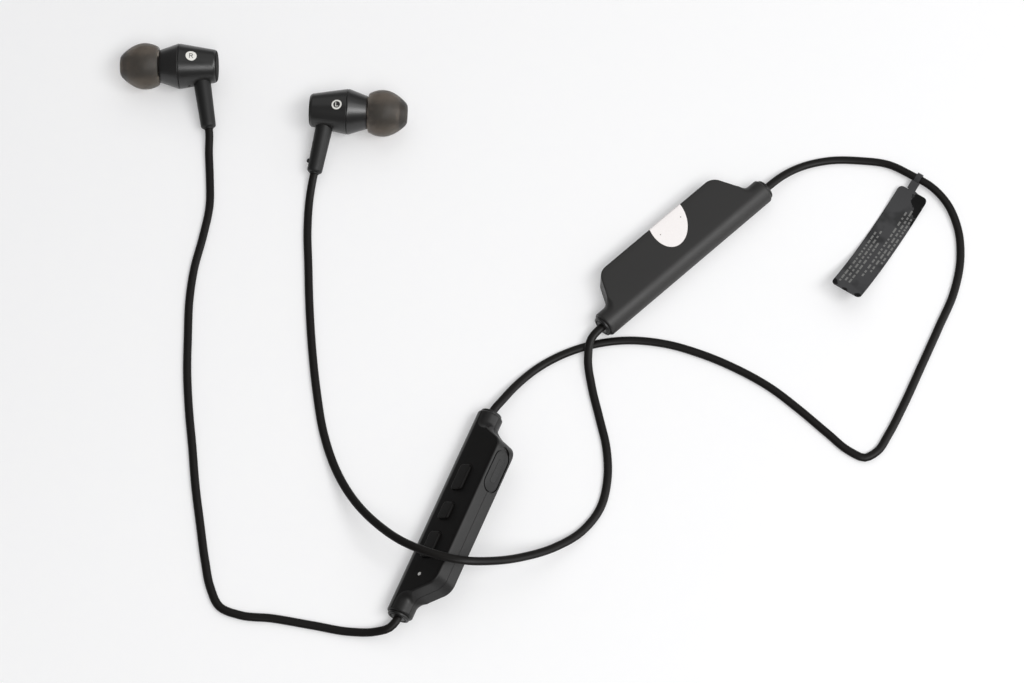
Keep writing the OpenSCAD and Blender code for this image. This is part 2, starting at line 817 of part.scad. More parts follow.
// ---- Cords ----
right_route = [
  [-60, 49, 1.2], [-59.5, 42, 0.8], [-59.2, 34, 0.8], [-60.5, 25, 0.8], [-62.3, 16, 0.8], [-63.1, 7, 0.8],
  [-63, -3, 0.8], [-62.7, -13, 0.8], [-61.8, -23, 0.8], [-60.5, -33, 0.8], [-59.3, -43, 0.8],
  [-57.7, -53, 0.8], [-56, -63, 0.8], [-54.5, -69.5, 0.8], [-52, -74.5, 0.8], [-47, -76.6, 0.8],
  [-39.5, -77.4, 0.8], [-29.5, -79.2, 0.8], [-20.5, -80.9, 1.1], [-14.4, -81.3, 2.1], [-11.1, -80.5, 3]
];
neck_route = [
  [15.9, -21, 2.9], [19.5, -16.4, 1.8], [25, -11.3, 0.9], [31.5, -7.6, 0.8], [38.5, -5.2, 0.8], [46.5, -4.1, 0.8],
  [56, -5, 0.8], [65.5, -8, 0.8], [74, -12, 0.8], [82, -17, 0.8], [89, -23, 0.8], [95.5, -29.2, 0.8],
  [101, -34.2, 0.8], [104.5, -35.8, 0.8], [107.5, -34.2, 0.8], [110.5, -29.8, 0.8], [114.5, -22.3, 0.8],
  [119.5, -11.8, 0.8], [124.8, -0.5, 0.8], [129.3, 9.5, 0.8], [131.7, 19.5, 0.8], [131.3, 27.5, 1],
  [129, 34.2, 1.4], [125.6, 38.6, 1.6], [120.2, 42.35, 1.6], [114.8, 45.6, 1.1], [107.5, 46.9, 0.8],
  [99.5, 46.9, 0.8], [93, 45.2, 1.1], [88, 42.2, 2.2]
];
left_route = [
  [-33.7, 36, 1], [-34, 27, 0.8], [-33.5, 17, 0.8], [-32.9, 6, 0.8], [-31.9, -6, 0.8], [-30.4, -18, 0.8],
  [-28.3, -29.5, 0.9], [-25, -39.5, 2], [-20.5, -48.2, 4.6], [-14.3, -56.3, 8.6], [-7.5, -62.4, 12.2],
  [-0.5, -65.8, 13.9], [6.5, -67.4, 13.7], [13.5, -66.6, 11], [21, -64, 7], [28.5, -60.2, 3.5], [35, -55.3, 1.4],
  [39.5, -49, 0.8], [41.3, -41.5, 0.8], [41.2, -33.5, 0.8], [39.5, -25, 0.8], [37.7, -16.5, 1], [36.9, -9.5, 1.9],
  [37.8, -4.5, 2.9]
];
cord_sides = 8;

function unit(v) = v / norm(v);

// Direction of a route at one of its points; the first and last are given
function heading(route, i, first, last) =
  i == 0 ? first : i == len(route) - 1 ? last : unit(route[i + 1] - route[i - 1]);

// One oval ring across the cord, its wide side level
function ring(at, along) = let (side = unit(cross([0, 0, 1], along)), up = cross(along, side))
  [for (k = [0:cord_sides - 1]) let (a = 360 * k / cord_sides)
    at + cord_wide / 2 * cos(a) * side + cord_thick / 2 * sin(a) * up];

module cord(route, first, last) {
  n = cord_sides;
  rings = [for (i = [0:len(route) - 1]) each ring(route[i], heading(route, i, first, last))];
  walls = [for (i = [0:len(route) - 2], k = [0:n - 1]) let (a = i * n + k, b = i * n + (k + 1) % n)
    each [[a, a + n, b], [b, a + n, b + n]]];
  start_cap = [for (k = [0:n - 1]) k];
  end_cap = [for (k = [n - 1:-1:0]) (len(route) - 1) * n + k];
  color(black_rubber) polyhedron(points = rings, faces = concat([start_cap, end_cap], walls));
}

module cord_right() {
  cord(
    concat([boot_end("right")], right_route, [control_end(-1)]),
    unit(boot_heading("right")), control_axis()
  );
}

module cord_neck() {
  cord(
    concat([control_end(1)], neck_route, [battery_end(1)]),
    control_axis(), -battery_axis()
  );
}

module cord_left() {
  cord(
    concat([boot_end("left")], left_route, [battery_end(-1)]),
    unit(boot_heading("left")), battery_axis()
  );
}

// ---- Tag ----
tag_at = [122, 41.1, 1.6];
tag_heading = 237;
loop_gap = 0.2;
loop_len = 1.4;
tag_start = 3.5;
tag_low = 15.6;

// The tag lies along x from the cord, curled up towards both of its ends
module cord_tag() {
  loop_r = cord_wide / 2 + loop_gap;
  low_z = 0.1 - tag_at[2];
  neck_start = 0.4;
  corner = 1.2;
  color(film_black) translate(tag_at) rotate([0, 0, tag_heading]) difference() {
    union() {
      rotate([90, 0, 0]) cylinder(r = loop_r + tag_t, h = loop_len, center = true);
      intersection() {
        translate([tag_low, 0, low_z + tag_curl_r]) rotate([90, 0, 0]) difference() {
          cylinder(r = tag_curl_r, h = 2 * tag_wide, center = true);
          cylinder(r = tag_curl_r - tag_t, h = 3 * tag_wide, center = true);
        }
        translate([0, 0, -tag_at[2]]) {
          translate([tag_start + tag_len / 2, 0, 0]) pad(tag_len, tag_wide, tag_curl_r / 2, corner);
          translate([neck_start, -tag_neck / 2, 0]) cube([tag_start, tag_neck, tag_curl_r / 2]);
        }
      }
    }
    rotate([90, 0, 0]) cylinder(r = loop_r, h = 3 * loop_len, center = true);
  }
}

place_bud("right") ear_tip();  // right_ear_tip
place_bud("right") front_shell();  // right_front_shell
place_bud("right") nozzle_mesh();  // right_nozzle_mesh
place_bud("right") rear_shell("right");  // right_rear_shell
place_bud("right") driver_basket();  // right_driver_basket
place_bud("right") driver_magnet();  // right_driver_magnet
place_bud("right") driver_diaphragm();  // right_driver_diaphragm
place_bud("right") boot("right");  // right_boot
place_bud("left") ear_tip();  // left_ear_tip
place_bud("left") front_shell();  // left_front_shell
place_bud("left") nozzle_mesh();  // left_nozzle_mesh
place_bud("left") rear_shell("left");  // left_rear_shell
place_bud("left") driver_basket();  // left_driver_basket
place_bud("left") driver_magnet();  // left_driver_magnet
place_bud("left") driver_diaphragm();  // left_driver_diaphragm
place_bud("left") boot("left");  // left_boot
control_front_shell();
control_rear_shell();
place_control() grommet();  // control_upper_grommet
place_control() mirror([1, 0, 0]) grommet();  // control_lower_grommet
button(1);  // volume_up_button
button(0);  // play_button
button(-1);  // volume_down_button
port_cover();
charging_socket();
control_board();
button_switches();
radio_chip();
indicator_lens();
microphone();
battery_front_shell();
battery_rear_shell();
place_battery() grommet();  // battery_upper_grommet
place_battery() mirror([1, 0, 0]) grommet();  // battery_lower_grommet
battery_cell();
protection_board();
edge_seal();
cord_right();
cord_neck();
cord_left();
cord_tag();
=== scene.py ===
"""Neck-cord earphones on a pale table: two earbuds, two inline pods, three flat cords and a film tag.

Every length is in millimetres until a mesh is made, and every mesh is in metres in the row frame: x to the
right, y away from the viewer, z up, with the table at z = 0.
"""
import logging
import math
import random
from dataclasses import dataclass, field, replace
from enum import Enum
from functools import cache
from typing import Any, Callable, ClassVar, Iterable, Optional, Protocol, Sequence

import bmesh
import bpy
from mathutils import Matrix, Vector


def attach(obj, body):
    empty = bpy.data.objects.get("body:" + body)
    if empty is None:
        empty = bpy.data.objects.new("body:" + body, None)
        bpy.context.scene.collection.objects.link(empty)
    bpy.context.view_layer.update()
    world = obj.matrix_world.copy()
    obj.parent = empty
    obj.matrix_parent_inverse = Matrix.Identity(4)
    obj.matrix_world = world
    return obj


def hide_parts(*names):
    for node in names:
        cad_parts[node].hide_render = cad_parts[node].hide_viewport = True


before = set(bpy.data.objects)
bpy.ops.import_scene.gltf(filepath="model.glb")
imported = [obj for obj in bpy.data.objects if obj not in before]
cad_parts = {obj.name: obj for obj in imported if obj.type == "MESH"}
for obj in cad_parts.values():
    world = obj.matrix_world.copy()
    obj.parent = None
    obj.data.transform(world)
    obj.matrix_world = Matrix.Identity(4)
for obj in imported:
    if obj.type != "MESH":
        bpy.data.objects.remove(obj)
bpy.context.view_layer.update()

MM = 0.001
log = logging.getLogger("earphones")
Socket = bpy.types.NodeSocket
Flat = tuple[float, float]
Profile = list[Flat]
Place = tuple[float, float, float]
Corner = tuple[float, float, float]  # radius, place along the axis, and rounding
Block = tuple[float, float, float]  # length, width, and radius of the corners
Spot = tuple[float, float, float]  # place along a strip, place across it, and radius


class Body(Enum):
    """The moving bodies of the set."""

    SET = "set"
    VOLUME_UP = "volume_up"
    PLAY = "play"
    VOLUME_DOWN = "volume_down"
    COVER = "cover"
    RIGHT_TIP = "right_tip"
    LEFT_TIP = "left_tip"
    TAG = "tag"


class Slot(Enum):
    """The finish groups of the record."""

    SILICONE = "silicone"
    RUBBER = "boot_rubber"
    JACKET = "cord_jacket"
    FILM = "tag_film"
    PAPER = "seal_paper"
    BATTERY_PLASTIC = "battery_plastic"
    HOUSING_PLASTIC = "housing_plastic"


class Side(Enum):
    """The side of the head that an earbud is worn on."""

    RIGHT = "right"
    LEFT = "left"


class Half(Enum):
    """The two half shells of a pod; the value is the sign of z on that half."""

    FRONT = 1
    REAR = -1


class End(Enum):
    """The two ends of a pod; the value is the sign of x at that end."""

    LOWER = -1
    UPPER = 1


# ---- Colour and nodes ----


def linear(hex_colour: str) -> tuple[float, float, float, float]:
    """Turns an sRGB hex colour into linear values.

    Args:
        hex_colour: Six hex digits, with or without a leading hash.

    Returns:
        Red, green, blue and an alpha of 1, linear.
    """
    digits = hex_colour.lstrip("#")
    parts = [int(digits[i : i + 2], 16) / 255 for i in (0, 2, 4)]
    red, green, blue = (c / 12.92 if c <= 0.04045 else ((c + 0.055) / 1.055) ** 2.4 for c in parts)
    return red, green, blue, 1.0


def per_mm(size_mm: float) -> float:
    """Gives the texture scale whose pattern repeats about every size_mm."""
    return 1 / (size_mm * MM)


def add_node(
    tree: bpy.types.NodeTree, kind: str, inputs: Optional[dict[str | int, Any]] = None, **settings: Any
) -> bpy.types.Node:
    """Adds one node with its settings and links.

    Args:
        tree: The node tree that gets the node.
        kind: Blender's name of the node type.
        inputs: For each input, by name or number, a value or the output socket that feeds it.
        settings: Properties of the node itself.

    Returns:
        The new node.
    """
    node = tree.nodes.new(kind)
    for name, value in settings.items():
        setattr(node, name, value)
    for key, value in (inputs or {}).items():
        if isinstance(value, Socket):
            tree.links.new(value, node.inputs[key])
        else:
            node.inputs[key].default_value = value
    return node


class Skin:
    """A material in the making: its tree, shader and output, and the coordinates that its patterns follow."""

    def __init__(self, name: str, values: dict[str, Any], follow: str = "Object") -> None:
        """Starts the material.

        Args:
            name: The material's name.
            values: Values of the shader's own inputs.
            follow: The coordinates that the patterns follow, Object or UV.
        """
        self.made = bpy.data.materials.new(name)
        self.made.use_nodes = True
        self.tree = self.made.node_tree
        self.tree.nodes.clear()
        self.shader = add_node(self.tree, "ShaderNodeBsdfPrincipled", values)
        self.output = add_node(
            self.tree, "ShaderNodeOutputMaterial", {"Surface": self.shader.outputs["BSDF"]}
        )
        self.place = add_node(self.tree, "ShaderNodeTexCoord").outputs[follow]

    def lay(
        self,
        share: Socket,
        colours: tuple[str, str],
        sheen: Optional[tuple[Socket, float, float]] = None,
        window: Flat = (0.0, 1.0),
        relief: Optional[tuple[Socket, float, float]] = None,
    ) -> bpy.types.Material:
        """Gives the shader its colour, its change of gloss and its relief.

        Args:
            share: The pattern that mixes the two colours.
            colours: The colours at the pattern's low and high ends.
            sheen: A pattern, and the roughness at the low and high ends of its window.
            window: The values of that pattern between which the roughness changes.
            relief: A pattern, the strength of the relief and its height in millimetres.

        Returns:
            The material.
        """
        low, high = (linear(colour) for colour in colours)
        tint = add_node(self.tree, "ShaderNodeMix", {0: share, 6: low, 7: high}, data_type="RGBA")
        self.tree.links.new(tint.outputs[2], self.shader.inputs["Base Color"])
        if sheen is not None:
            gloss = add_node(
                self.tree, "ShaderNodeMapRange",
                {"Value": sheen[0], "From Min": window[0], "From Max": window[1], "To Min": sheen[1],
                 "To Max": sheen[2]},
            )
            self.tree.links.new(gloss.outputs["Result"], self.shader.inputs["Roughness"])
        if relief is not None:
            bumps = add_node(
                self.tree, "ShaderNodeBump",
                {"Height": relief[0], "Strength": relief[1], "Distance": relief[2] * MM},
            )
            self.tree.links.new(bumps.outputs["Normal"], self.shader.inputs["Normal"])
        return self.made


class Finish(Protocol):
    """What every finish offers."""

    @property
    def name(self) -> str:
        """The material's name."""

    def material(self) -> bpy.types.Material:
        """Builds the material."""


@dataclass(frozen=True)
class MouldedPlastic:
    """ABS, injection moulded in a spark-eroded tool: a fine grain spreads its highlights into soft bands."""

    name: str
    colour: str
    lighter: str
    roughness: float
    reflectance: float = 0.5
    grain_mm: float = 0.35  # the real grit is about 0.05 mm; it is drawn coarser so that it shows
    grain_depth_mm: float = 0.006
    patch_mm: float = 9.0  # slow change of sheen where the melt met the tool
    ior: ClassVar[float] = 1.53

    def material(self) -> bpy.types.Material:
        """Builds the material."""
        skin = Skin(self.name, {"IOR": self.ior, "Specular IOR Level": self.reflectance})
        grain = add_node(
            skin.tree, "ShaderNodeTexNoise",
            {"Vector": skin.place, "Scale": per_mm(self.grain_mm), "Detail": 3.0, "Roughness": 0.6},
        ).outputs["Fac"]
        patch = add_node(
            skin.tree, "ShaderNodeTexNoise",
            {"Vector": skin.place, "Scale": per_mm(self.patch_mm), "Detail": 2.0},
        ).outputs["Fac"]
        return skin.lay(
            patch, (self.colour, self.lighter), (patch, self.roughness - 0.03, self.roughness + 0.04),
            (0.3, 0.7), (grain, 0.5, self.grain_depth_mm),
        )


@dataclass(frozen=True)
class MouldedRubber:
    """Thermoplastic elastomer, moulded: darker and softer than the plastic, with a faint bloom of dust."""

    name: str
    colour: str
    bloom: str
    roughness: float
    reflectance: float = 0.4
    grain_mm: float = 0.5  # the real skin is finer; drawn at a size that shows
    grain_depth_mm: float = 0.01
    ior: ClassVar[float] = 1.5

    def material(self) -> bpy.types.Material:
        """Builds the material."""
        skin = Skin(self.name, {"IOR": self.ior, "Specular IOR Level": self.reflectance})
        grain = add_node(
            skin.tree, "ShaderNodeTexNoise",
            {"Vector": skin.place, "Scale": per_mm(self.grain_mm), "Detail": 4.0, "Roughness": 0.65},
        ).outputs["Fac"]
        dust = add_node(
            skin.tree, "ShaderNodeMapRange",
            {"Value": grain, "From Min": 0.5, "From Max": 0.8, "To Min": 0.0, "To Max": 0.6},
        ).outputs["Result"]
        return skin.lay(
            dust, (self.colour, self.bloom), (grain, self.roughness - 0.04, self.roughness + 0.06),
            (0.3, 0.7), (grain, 0.5, self.grain_depth_mm),
        )


@dataclass(frozen=True)
class ExtrudedJacket:
    """TPE cord jacket, extruded: drawn lines run along it, and its matt skin shows one streak of light."""

    name: str
    colour: str
    lighter: str
    roughness: float
    reflectance: float = 0.35
    line_mm: float = 0.35  # spacing of the die lines round the cord
    line_depth_mm: float = 0.01
    ripple_mm: float = 6.0  # slow change of gloss along the cord
    ior: ClassVar[float] = 1.5

    def material(self) -> bpy.types.Material:
        """Builds the material; its map holds millimetres along the cord and round it."""
        skin = Skin(self.name, {"IOR": self.ior, "Specular IOR Level": self.reflectance}, "UV")
        drawn = add_node(
            skin.tree, "ShaderNodeMapping",
            {"Vector": skin.place, "Scale": (1 / self.ripple_mm, 1 / self.line_mm, 1.0)},
        ).outputs["Vector"]
        lines = add_node(
            skin.tree, "ShaderNodeTexNoise", {"Vector": drawn, "Scale": 1.0, "Detail": 2.0}
        ).outputs["Fac"]
        return skin.lay(
            lines, (self.colour, self.lighter), (lines, self.roughness - 0.05, self.roughness + 0.05),
            (0.3, 0.7), (lines, 0.3, self.line_depth_mm),
        )


@dataclass(frozen=True)
class SmokySilicone:
    """Liquid silicone rubber, moulded and tinted: thin walls glow brown, the thick core stays grey."""

    name: str
    colour: str
    cloudy: str
    soak: str
    soak_per_mm: float
    roughness: float
    clearness: float
    gloss: str = "#a8a8a8"  # a film of dust dulls the skin's reflections
    cloud_mm: float = 4.0
    dust_mm: float = 0.4
    dust_depth_mm: float = 0.01
    ior: ClassVar[float] = 1.41

    def material(self) -> bpy.types.Material:
        """Builds the material: its skin passes light and its inside soaks it up with depth."""
        skin = Skin(
            self.name,
            {"IOR": self.ior, "Roughness": self.roughness, "Transmission Weight": self.clearness,
             "Specular Tint": linear(self.gloss)},
        )
        cloud, dust = (
            add_node(
                skin.tree, "ShaderNodeTexNoise",
                {"Vector": skin.place, "Scale": per_mm(size), "Detail": detail},
            ).outputs["Fac"]
            for size, detail in ((self.cloud_mm, 3.0), (self.dust_mm, 2.0))
        )
        inside = add_node(
            skin.tree, "ShaderNodeVolumeAbsorption",
            {"Color": linear(self.soak), "Density": self.soak_per_mm / MM},
        )
        skin.tree.links.new(inside.outputs["Volume"], skin.output.inputs["Volume"])
        return skin.lay(cloud, (self.colour, self.cloudy), relief=(dust, 0.2, self.dust_depth_mm))


@dataclass(frozen=True)
class PolyesterFilm:
    """Printed polyester film, die cut: a dark glossy skin with blotches where the black ink lies thicker."""

    name: str
    colour: str
    ink: str
    roughness: float
    reflectance: float = 0.5
    blotch_mm: float = 7.0
    blotch_share: float = 0.45
    ragged_mm: float = 1.2  # raggedness of the edge of a thick spot
    ripple_mm: float = 3.0
    ripple_depth_mm: float = 0.05
    worn: tuple[tuple[Place, float], ...] = ()  # middle and radius of the spots where the ink is thick
    ior: ClassVar[float] = 1.58

    def material(self) -> bpy.types.Material:
        """Builds the material."""
        skin = Skin(self.name, {"IOR": self.ior, "Specular IOR Level": self.reflectance})
        blotch, ragged, ripple = (
            add_node(
                skin.tree, "ShaderNodeTexNoise",
                {"Vector": skin.place, "Scale": per_mm(size), "Detail": detail},
            ).outputs["Fac"]
            for size, detail in ((self.blotch_mm, 3.0), (self.ragged_mm, 2.0), (self.ripple_mm, 1.0))
        )
        share = add_node(
            skin.tree, "ShaderNodeMapRange",
            {"Value": blotch, "From Min": 0.5, "From Max": 0.62, "To Min": 0.0, "To Max": 1.0},
        ).outputs["Result"]
        inked = add_node(
            skin.tree, "ShaderNodeMath", {0: share, 1: self.blotch_share}, operation="MULTIPLY"
        ).outputs["Value"]
        for middle, radius in self.worn:
            inked = self.thicken(skin, inked, ragged, middle, radius)
        return skin.lay(
            inked, (self.colour, self.ink), (blotch, self.roughness - 0.06, self.roughness + 0.1),
            relief=(ripple, 0.4, self.ripple_depth_mm),
        )

    @staticmethod
    def thicken(skin: Skin, inked: Socket, ragged: Socket, middle: Place, radius: float) -> Socket:
        """Adds a spot where the ink is thick.

        Args:
            skin: The material in the making.
            inked: The share of ink so far.
            ragged: The pattern that makes the spot's edge ragged.
            middle: The middle of the spot, in millimetres.
            radius: Its radius.

        Returns:
            The share of ink with the spot.
        """
        away = add_node(
            skin.tree, "ShaderNodeVectorMath", {0: skin.place, 1: [c * MM for c in middle]},
            operation="DISTANCE",
        ).outputs["Value"]
        wavy = add_node(
            skin.tree, "ShaderNodeMath", {0: ragged, 1: radius * MM, 2: away}, operation="MULTIPLY_ADD"
        ).outputs["Value"]
        spot = add_node(
            skin.tree, "ShaderNodeMapRange",
            {"Value": wavy, "From Min": 1.45 * radius * MM, "From Max": 1.55 * radius * MM, "To Min": 1.0,
             "To Max": 0.0},
        ).outputs["Result"]
        return add_node(
            skin.tree, "ShaderNodeMath", {0: inked, 1: spot}, operation="MAXIMUM"
        ).outputs["Value"]


@dataclass(frozen=True)
class CoatedPaper:
    """Coated paper, die cut: bright and matt, with fibres that mottle it a little."""

    name: str
    colour: str
    shade: str
    fibre_mm: float = 0.5
    fibre_depth_mm: float = 0.01
    roughness: float = 0.6
    ior: ClassVar[float] = 1.5

    def material(self) -> bpy.types.Material:
        """Builds the material."""
        skin = Skin(self.name, {"IOR": self.ior, "Roughness": self.roughness})
        fibre = add_node(
            skin.tree, "ShaderNodeTexNoise",
            {"Vector": skin.place, "Scale": per_mm(self.fibre_mm), "Detail": 4.0},
        ).outputs["Fac"]
        return skin.lay(fibre, (self.colour, self.shade), relief=(fibre, 0.3, self.fibre_depth_mm))


@dataclass(frozen=True)
class SheetMetal:
    """Thin plated or bare sheet metal, pressed and drawn: fine scratches stretch its reflections."""

    name: str
    colour: str
    shade: str
    roughness: float
    scratch_mm: float = 0.12
    scratch_run_mm: float = 2.5
    scratch_depth_mm: float = 0.004

    def material(self) -> bpy.types.Material:
        """Builds the material."""
        skin = Skin(self.name, {"Metallic": 1.0})
        across = per_mm(self.scratch_mm)
        drawn = add_node(
            skin.tree, "ShaderNodeMapping",
            {"Vector": skin.place, "Scale": (per_mm(self.scratch_run_mm), across, across)},
        ).outputs["Vector"]
        scratch = add_node(
            skin.tree, "ShaderNodeTexNoise", {"Vector": drawn, "Scale": 1.0, "Detail": 3.0}
        ).outputs["Fac"]
        return skin.lay(
            scratch, (self.colour, self.shade), (scratch, self.roughness - 0.08, self.roughness + 0.12),
            relief=(scratch, 0.2, self.scratch_depth_mm),
        )


@dataclass(frozen=True)
class WovenGlassBoard:
    """Glass-fibre epoxy laminate with solder mask: a green skin over a weave that just shows through."""

    name: str
    colour: str
    thread: str
    weave_mm: float = 0.5
    weave_depth_mm: float = 0.01
    roughness: float = 0.35
    ior: ClassVar[float] = 1.55
    waves_per_scale: ClassVar[float] = 6.3  # the wave pattern repeats this many times per unit of scale

    def material(self) -> bpy.types.Material:
        """Builds the material."""
        skin = Skin(self.name, {"IOR": self.ior, "Roughness": self.roughness})
        scale = per_mm(self.weave_mm) / self.waves_per_scale
        weft, warp = (
            add_node(
                skin.tree, "ShaderNodeTexWave", {"Vector": skin.place, "Scale": scale}, bands_direction=way
            ).outputs["Fac"]
            for way in ("X", "Y")
        )
        weave = add_node(
            skin.tree, "ShaderNodeMath", {0: weft, 1: warp}, operation="MULTIPLY"
        ).outputs["Value"]
        return skin.lay(weave, (self.colour, self.thread), relief=(weave, 0.2, self.weave_depth_mm))


@dataclass(frozen=True)
class ClearPlastic:
    """Polycarbonate light pipe, moulded and frosted at its face: a small pale dot that gathers the light."""

    name: str
    colour: str
    shade: str
    clearness: float
    frost_mm: float = 0.3
    roughness: float = 0.35
    ior: ClassVar[float] = 1.58

    def material(self) -> bpy.types.Material:
        """Builds the material."""
        skin = Skin(
            self.name, {"IOR": self.ior, "Roughness": self.roughness, "Transmission Weight": self.clearness}
        )
        frost = add_node(
            skin.tree, "ShaderNodeTexNoise",
            {"Vector": skin.place, "Scale": per_mm(self.frost_mm), "Detail": 2.0},
        ).outputs["Fac"]
        return skin.lay(frost, (self.colour, self.shade))


BATTERY_ABS = MouldedPlastic("battery_pod_abs_moulded_matt", "#181716", "#1c1b1a", 0.5, 0.5)
CONTROL_ABS = MouldedPlastic("control_pod_abs_moulded_satin", "#0b0a0a", "#0e0d0c", 0.42, 0.36)
CONTROL_FACE = MouldedPlastic("control_face_abs_moulded_fine_matt", "#0a0909", "#0c0b0a", 0.5, 0.08)
BUD_ABS = MouldedPlastic("earbud_abs_moulded_satin", "#090807", "#0b0a09", 0.31, 0.65, grain_depth_mm=0.004)
BUD_END = MouldedPlastic("earbud_end_abs_moulded_matt", "#0a0908", "#0d0c0b", 0.75, 0.15)
BOOT_TPE = MouldedRubber("boot_tpe_moulded", "#0e0e0e", "#191817", 0.5, 0.4)
GROMMET_TPE = MouldedRubber("grommet_tpe_moulded", "#090908", "#111110", 0.36, 0.4)
BUTTON_TPE = MouldedRubber("button_tpe_moulded", "#0c0b0a", "#121110", 0.45, 0.14)
COVER_TPE = MouldedRubber("cover_tpe_moulded", "#101010", "#161615", 0.5, 0.42)
CORD_TPE = ExtrudedJacket("cord_tpe_extruded", "#090706", "#0e0b09", 0.42, 0.23)
TIP_SILICONE = SmokySilicone(
    "ear_tip_silicone_moulded_smoky", "#e6e2dc", "#d8d3cc", "#b0a292", 1.5, 0.42, 0.96
)
# The tag's film is black; its grey colour is painted sheen that stands in for the glossy reflection its low
# reflectance leaves out. The near-black ink is print.
TAG_FILM_PAINTED_SHEEN = PolyesterFilm("tag_polyester_film_printed", "#3f3f40", "#030303", 0.34, 0.14)
TAG_INK = CoatedPaper("tag_ink_grey_printed", "#737371", "#60605e")
SEAL_PAPER = CoatedPaper("seal_coated_paper", "#fbf7f6", "#f1ecea")
SEAL_INK = CoatedPaper("seal_ink_grey", "#8d8986", "#7b7775")
MARK_INK = CoatedPaper("mark_ink_pad_printed_white", "#e9e8e3", "#dddcd6")
LETTER_INK = CoatedPaper("letter_ink_pad_printed_grey", "#5c5b58", "#4e4d4a")
MESH_STEEL = SheetMetal("nozzle_mesh_steel_etched", "#b9b7b2", "#8c8a86", 0.35)
PRESSED_STEEL = SheetMetal("pressed_steel_plated", "#c4c2bd", "#9f9d99", 0.3)
MAGNET_NICKEL = SheetMetal("magnet_nickel_plated", "#cfcac0", "#b3aea5", 0.22)
SWITCH_BRASS = SheetMetal("switch_dome_tinned_brass", "#c9c4b6", "#a39e90", 0.3)
CELL_FOIL = SheetMetal(
    "cell_aluminium_foil_laminate", "#c9cacc", "#aeb0b3", 0.4, scratch_mm=0.6, scratch_run_mm=5.0
)
DRIVER_FILM = PolyesterFilm("driver_film_formed", "#a8803c", "#8a672c", 0.25, blotch_mm=2.0)
BOARD = WovenGlassBoard("board_glass_epoxy_green", "#0f3a24", "#1b5234")
CHIP_EPOXY = MouldedPlastic("chip_epoxy_moulded", "#161617", "#1c1c1d", 0.55)
LIGHT_PIPE = ClearPlastic("light_pipe_polycarbonate_frosted", "#d9d9d6", "#c4c4c0", 0.35)
TABLE_BOARD = CoatedPaper("table_white_board", "#fbfbfb", "#f9f9fa", fibre_mm=4.0)


@cache
def finish_of(finish: Finish) -> bpy.types.Material:
    """Gives a finish's material, built once."""
    return finish.material()


# ---- Shapes ----


def soften(corners: Sequence[Corner], steps: int = 5) -> Profile:
    """Rounds the corners of a closed outline.

    Args:
        corners: Radius, place along the axis, and rounding of each corner.
        steps: Points in each rounding.

    Returns:
        The outline with its roundings.
    """
    out: Profile = []
    count = len(corners)
    for i, (r, u, round_r) in enumerate(corners):
        here = Vector((r, u))
        before = Vector(corners[i - 1][:2]) - here
        after = Vector(corners[(i + 1) % count][:2]) - here
        if round_r <= 0:
            out.append((r, u))
            continue
        half = before.angle(after) / 2
        reach = min(round_r / math.tan(half), 0.48 * before.length, 0.48 * after.length)
        start, end = here + before.normalized() * reach, here + after.normalized() * reach
        for k in range(steps + 1):
            t = k / steps
            p = start * (1 - t) ** 2 + here * 2 * t * (1 - t) + end * t**2
            out.append((p.x, p.y))
    return out


def arc(cx: float, cy: float, r: float, start: float, stop: float, steps: int) -> Profile:
    """Gives points on an arc.

    Args:
        cx: First coordinate of the centre.
        cy: Second coordinate of the centre.
        r: Radius.
        start: First angle in degrees.
        stop: Last angle in degrees.
        steps: Number of steps.

    Returns:
        The points, both ends included.
    """
    angles = [math.radians(start + (stop - start) * i / steps) for i in range(steps + 1)]
    return [(cx + r * math.cos(a), cy + r * math.sin(a)) for a in angles]


def rounded_box(length: float, width: float, corner: float, steps: int = 6) -> Profile:
    """Gives the outline of a rectangle with round corners, centred on the origin.

    Args:
        length: Its size along x.
        width: Its size along y.
        corner: Radius of its corners.
        steps: Steps in each corner.

    Returns:
        The outline.
    """
    out: Profile = []
    for sx, sy, start in ((1, 1, 0), (-1, 1, 90), (-1, -1, 180), (1, -1, 270)):
        out += arc(sx * (length / 2 - corner), sy * (width / 2 - corner), corner, start, start + 90, steps)
    return out


MERGE_DISTANCE = 1e-7  # metres


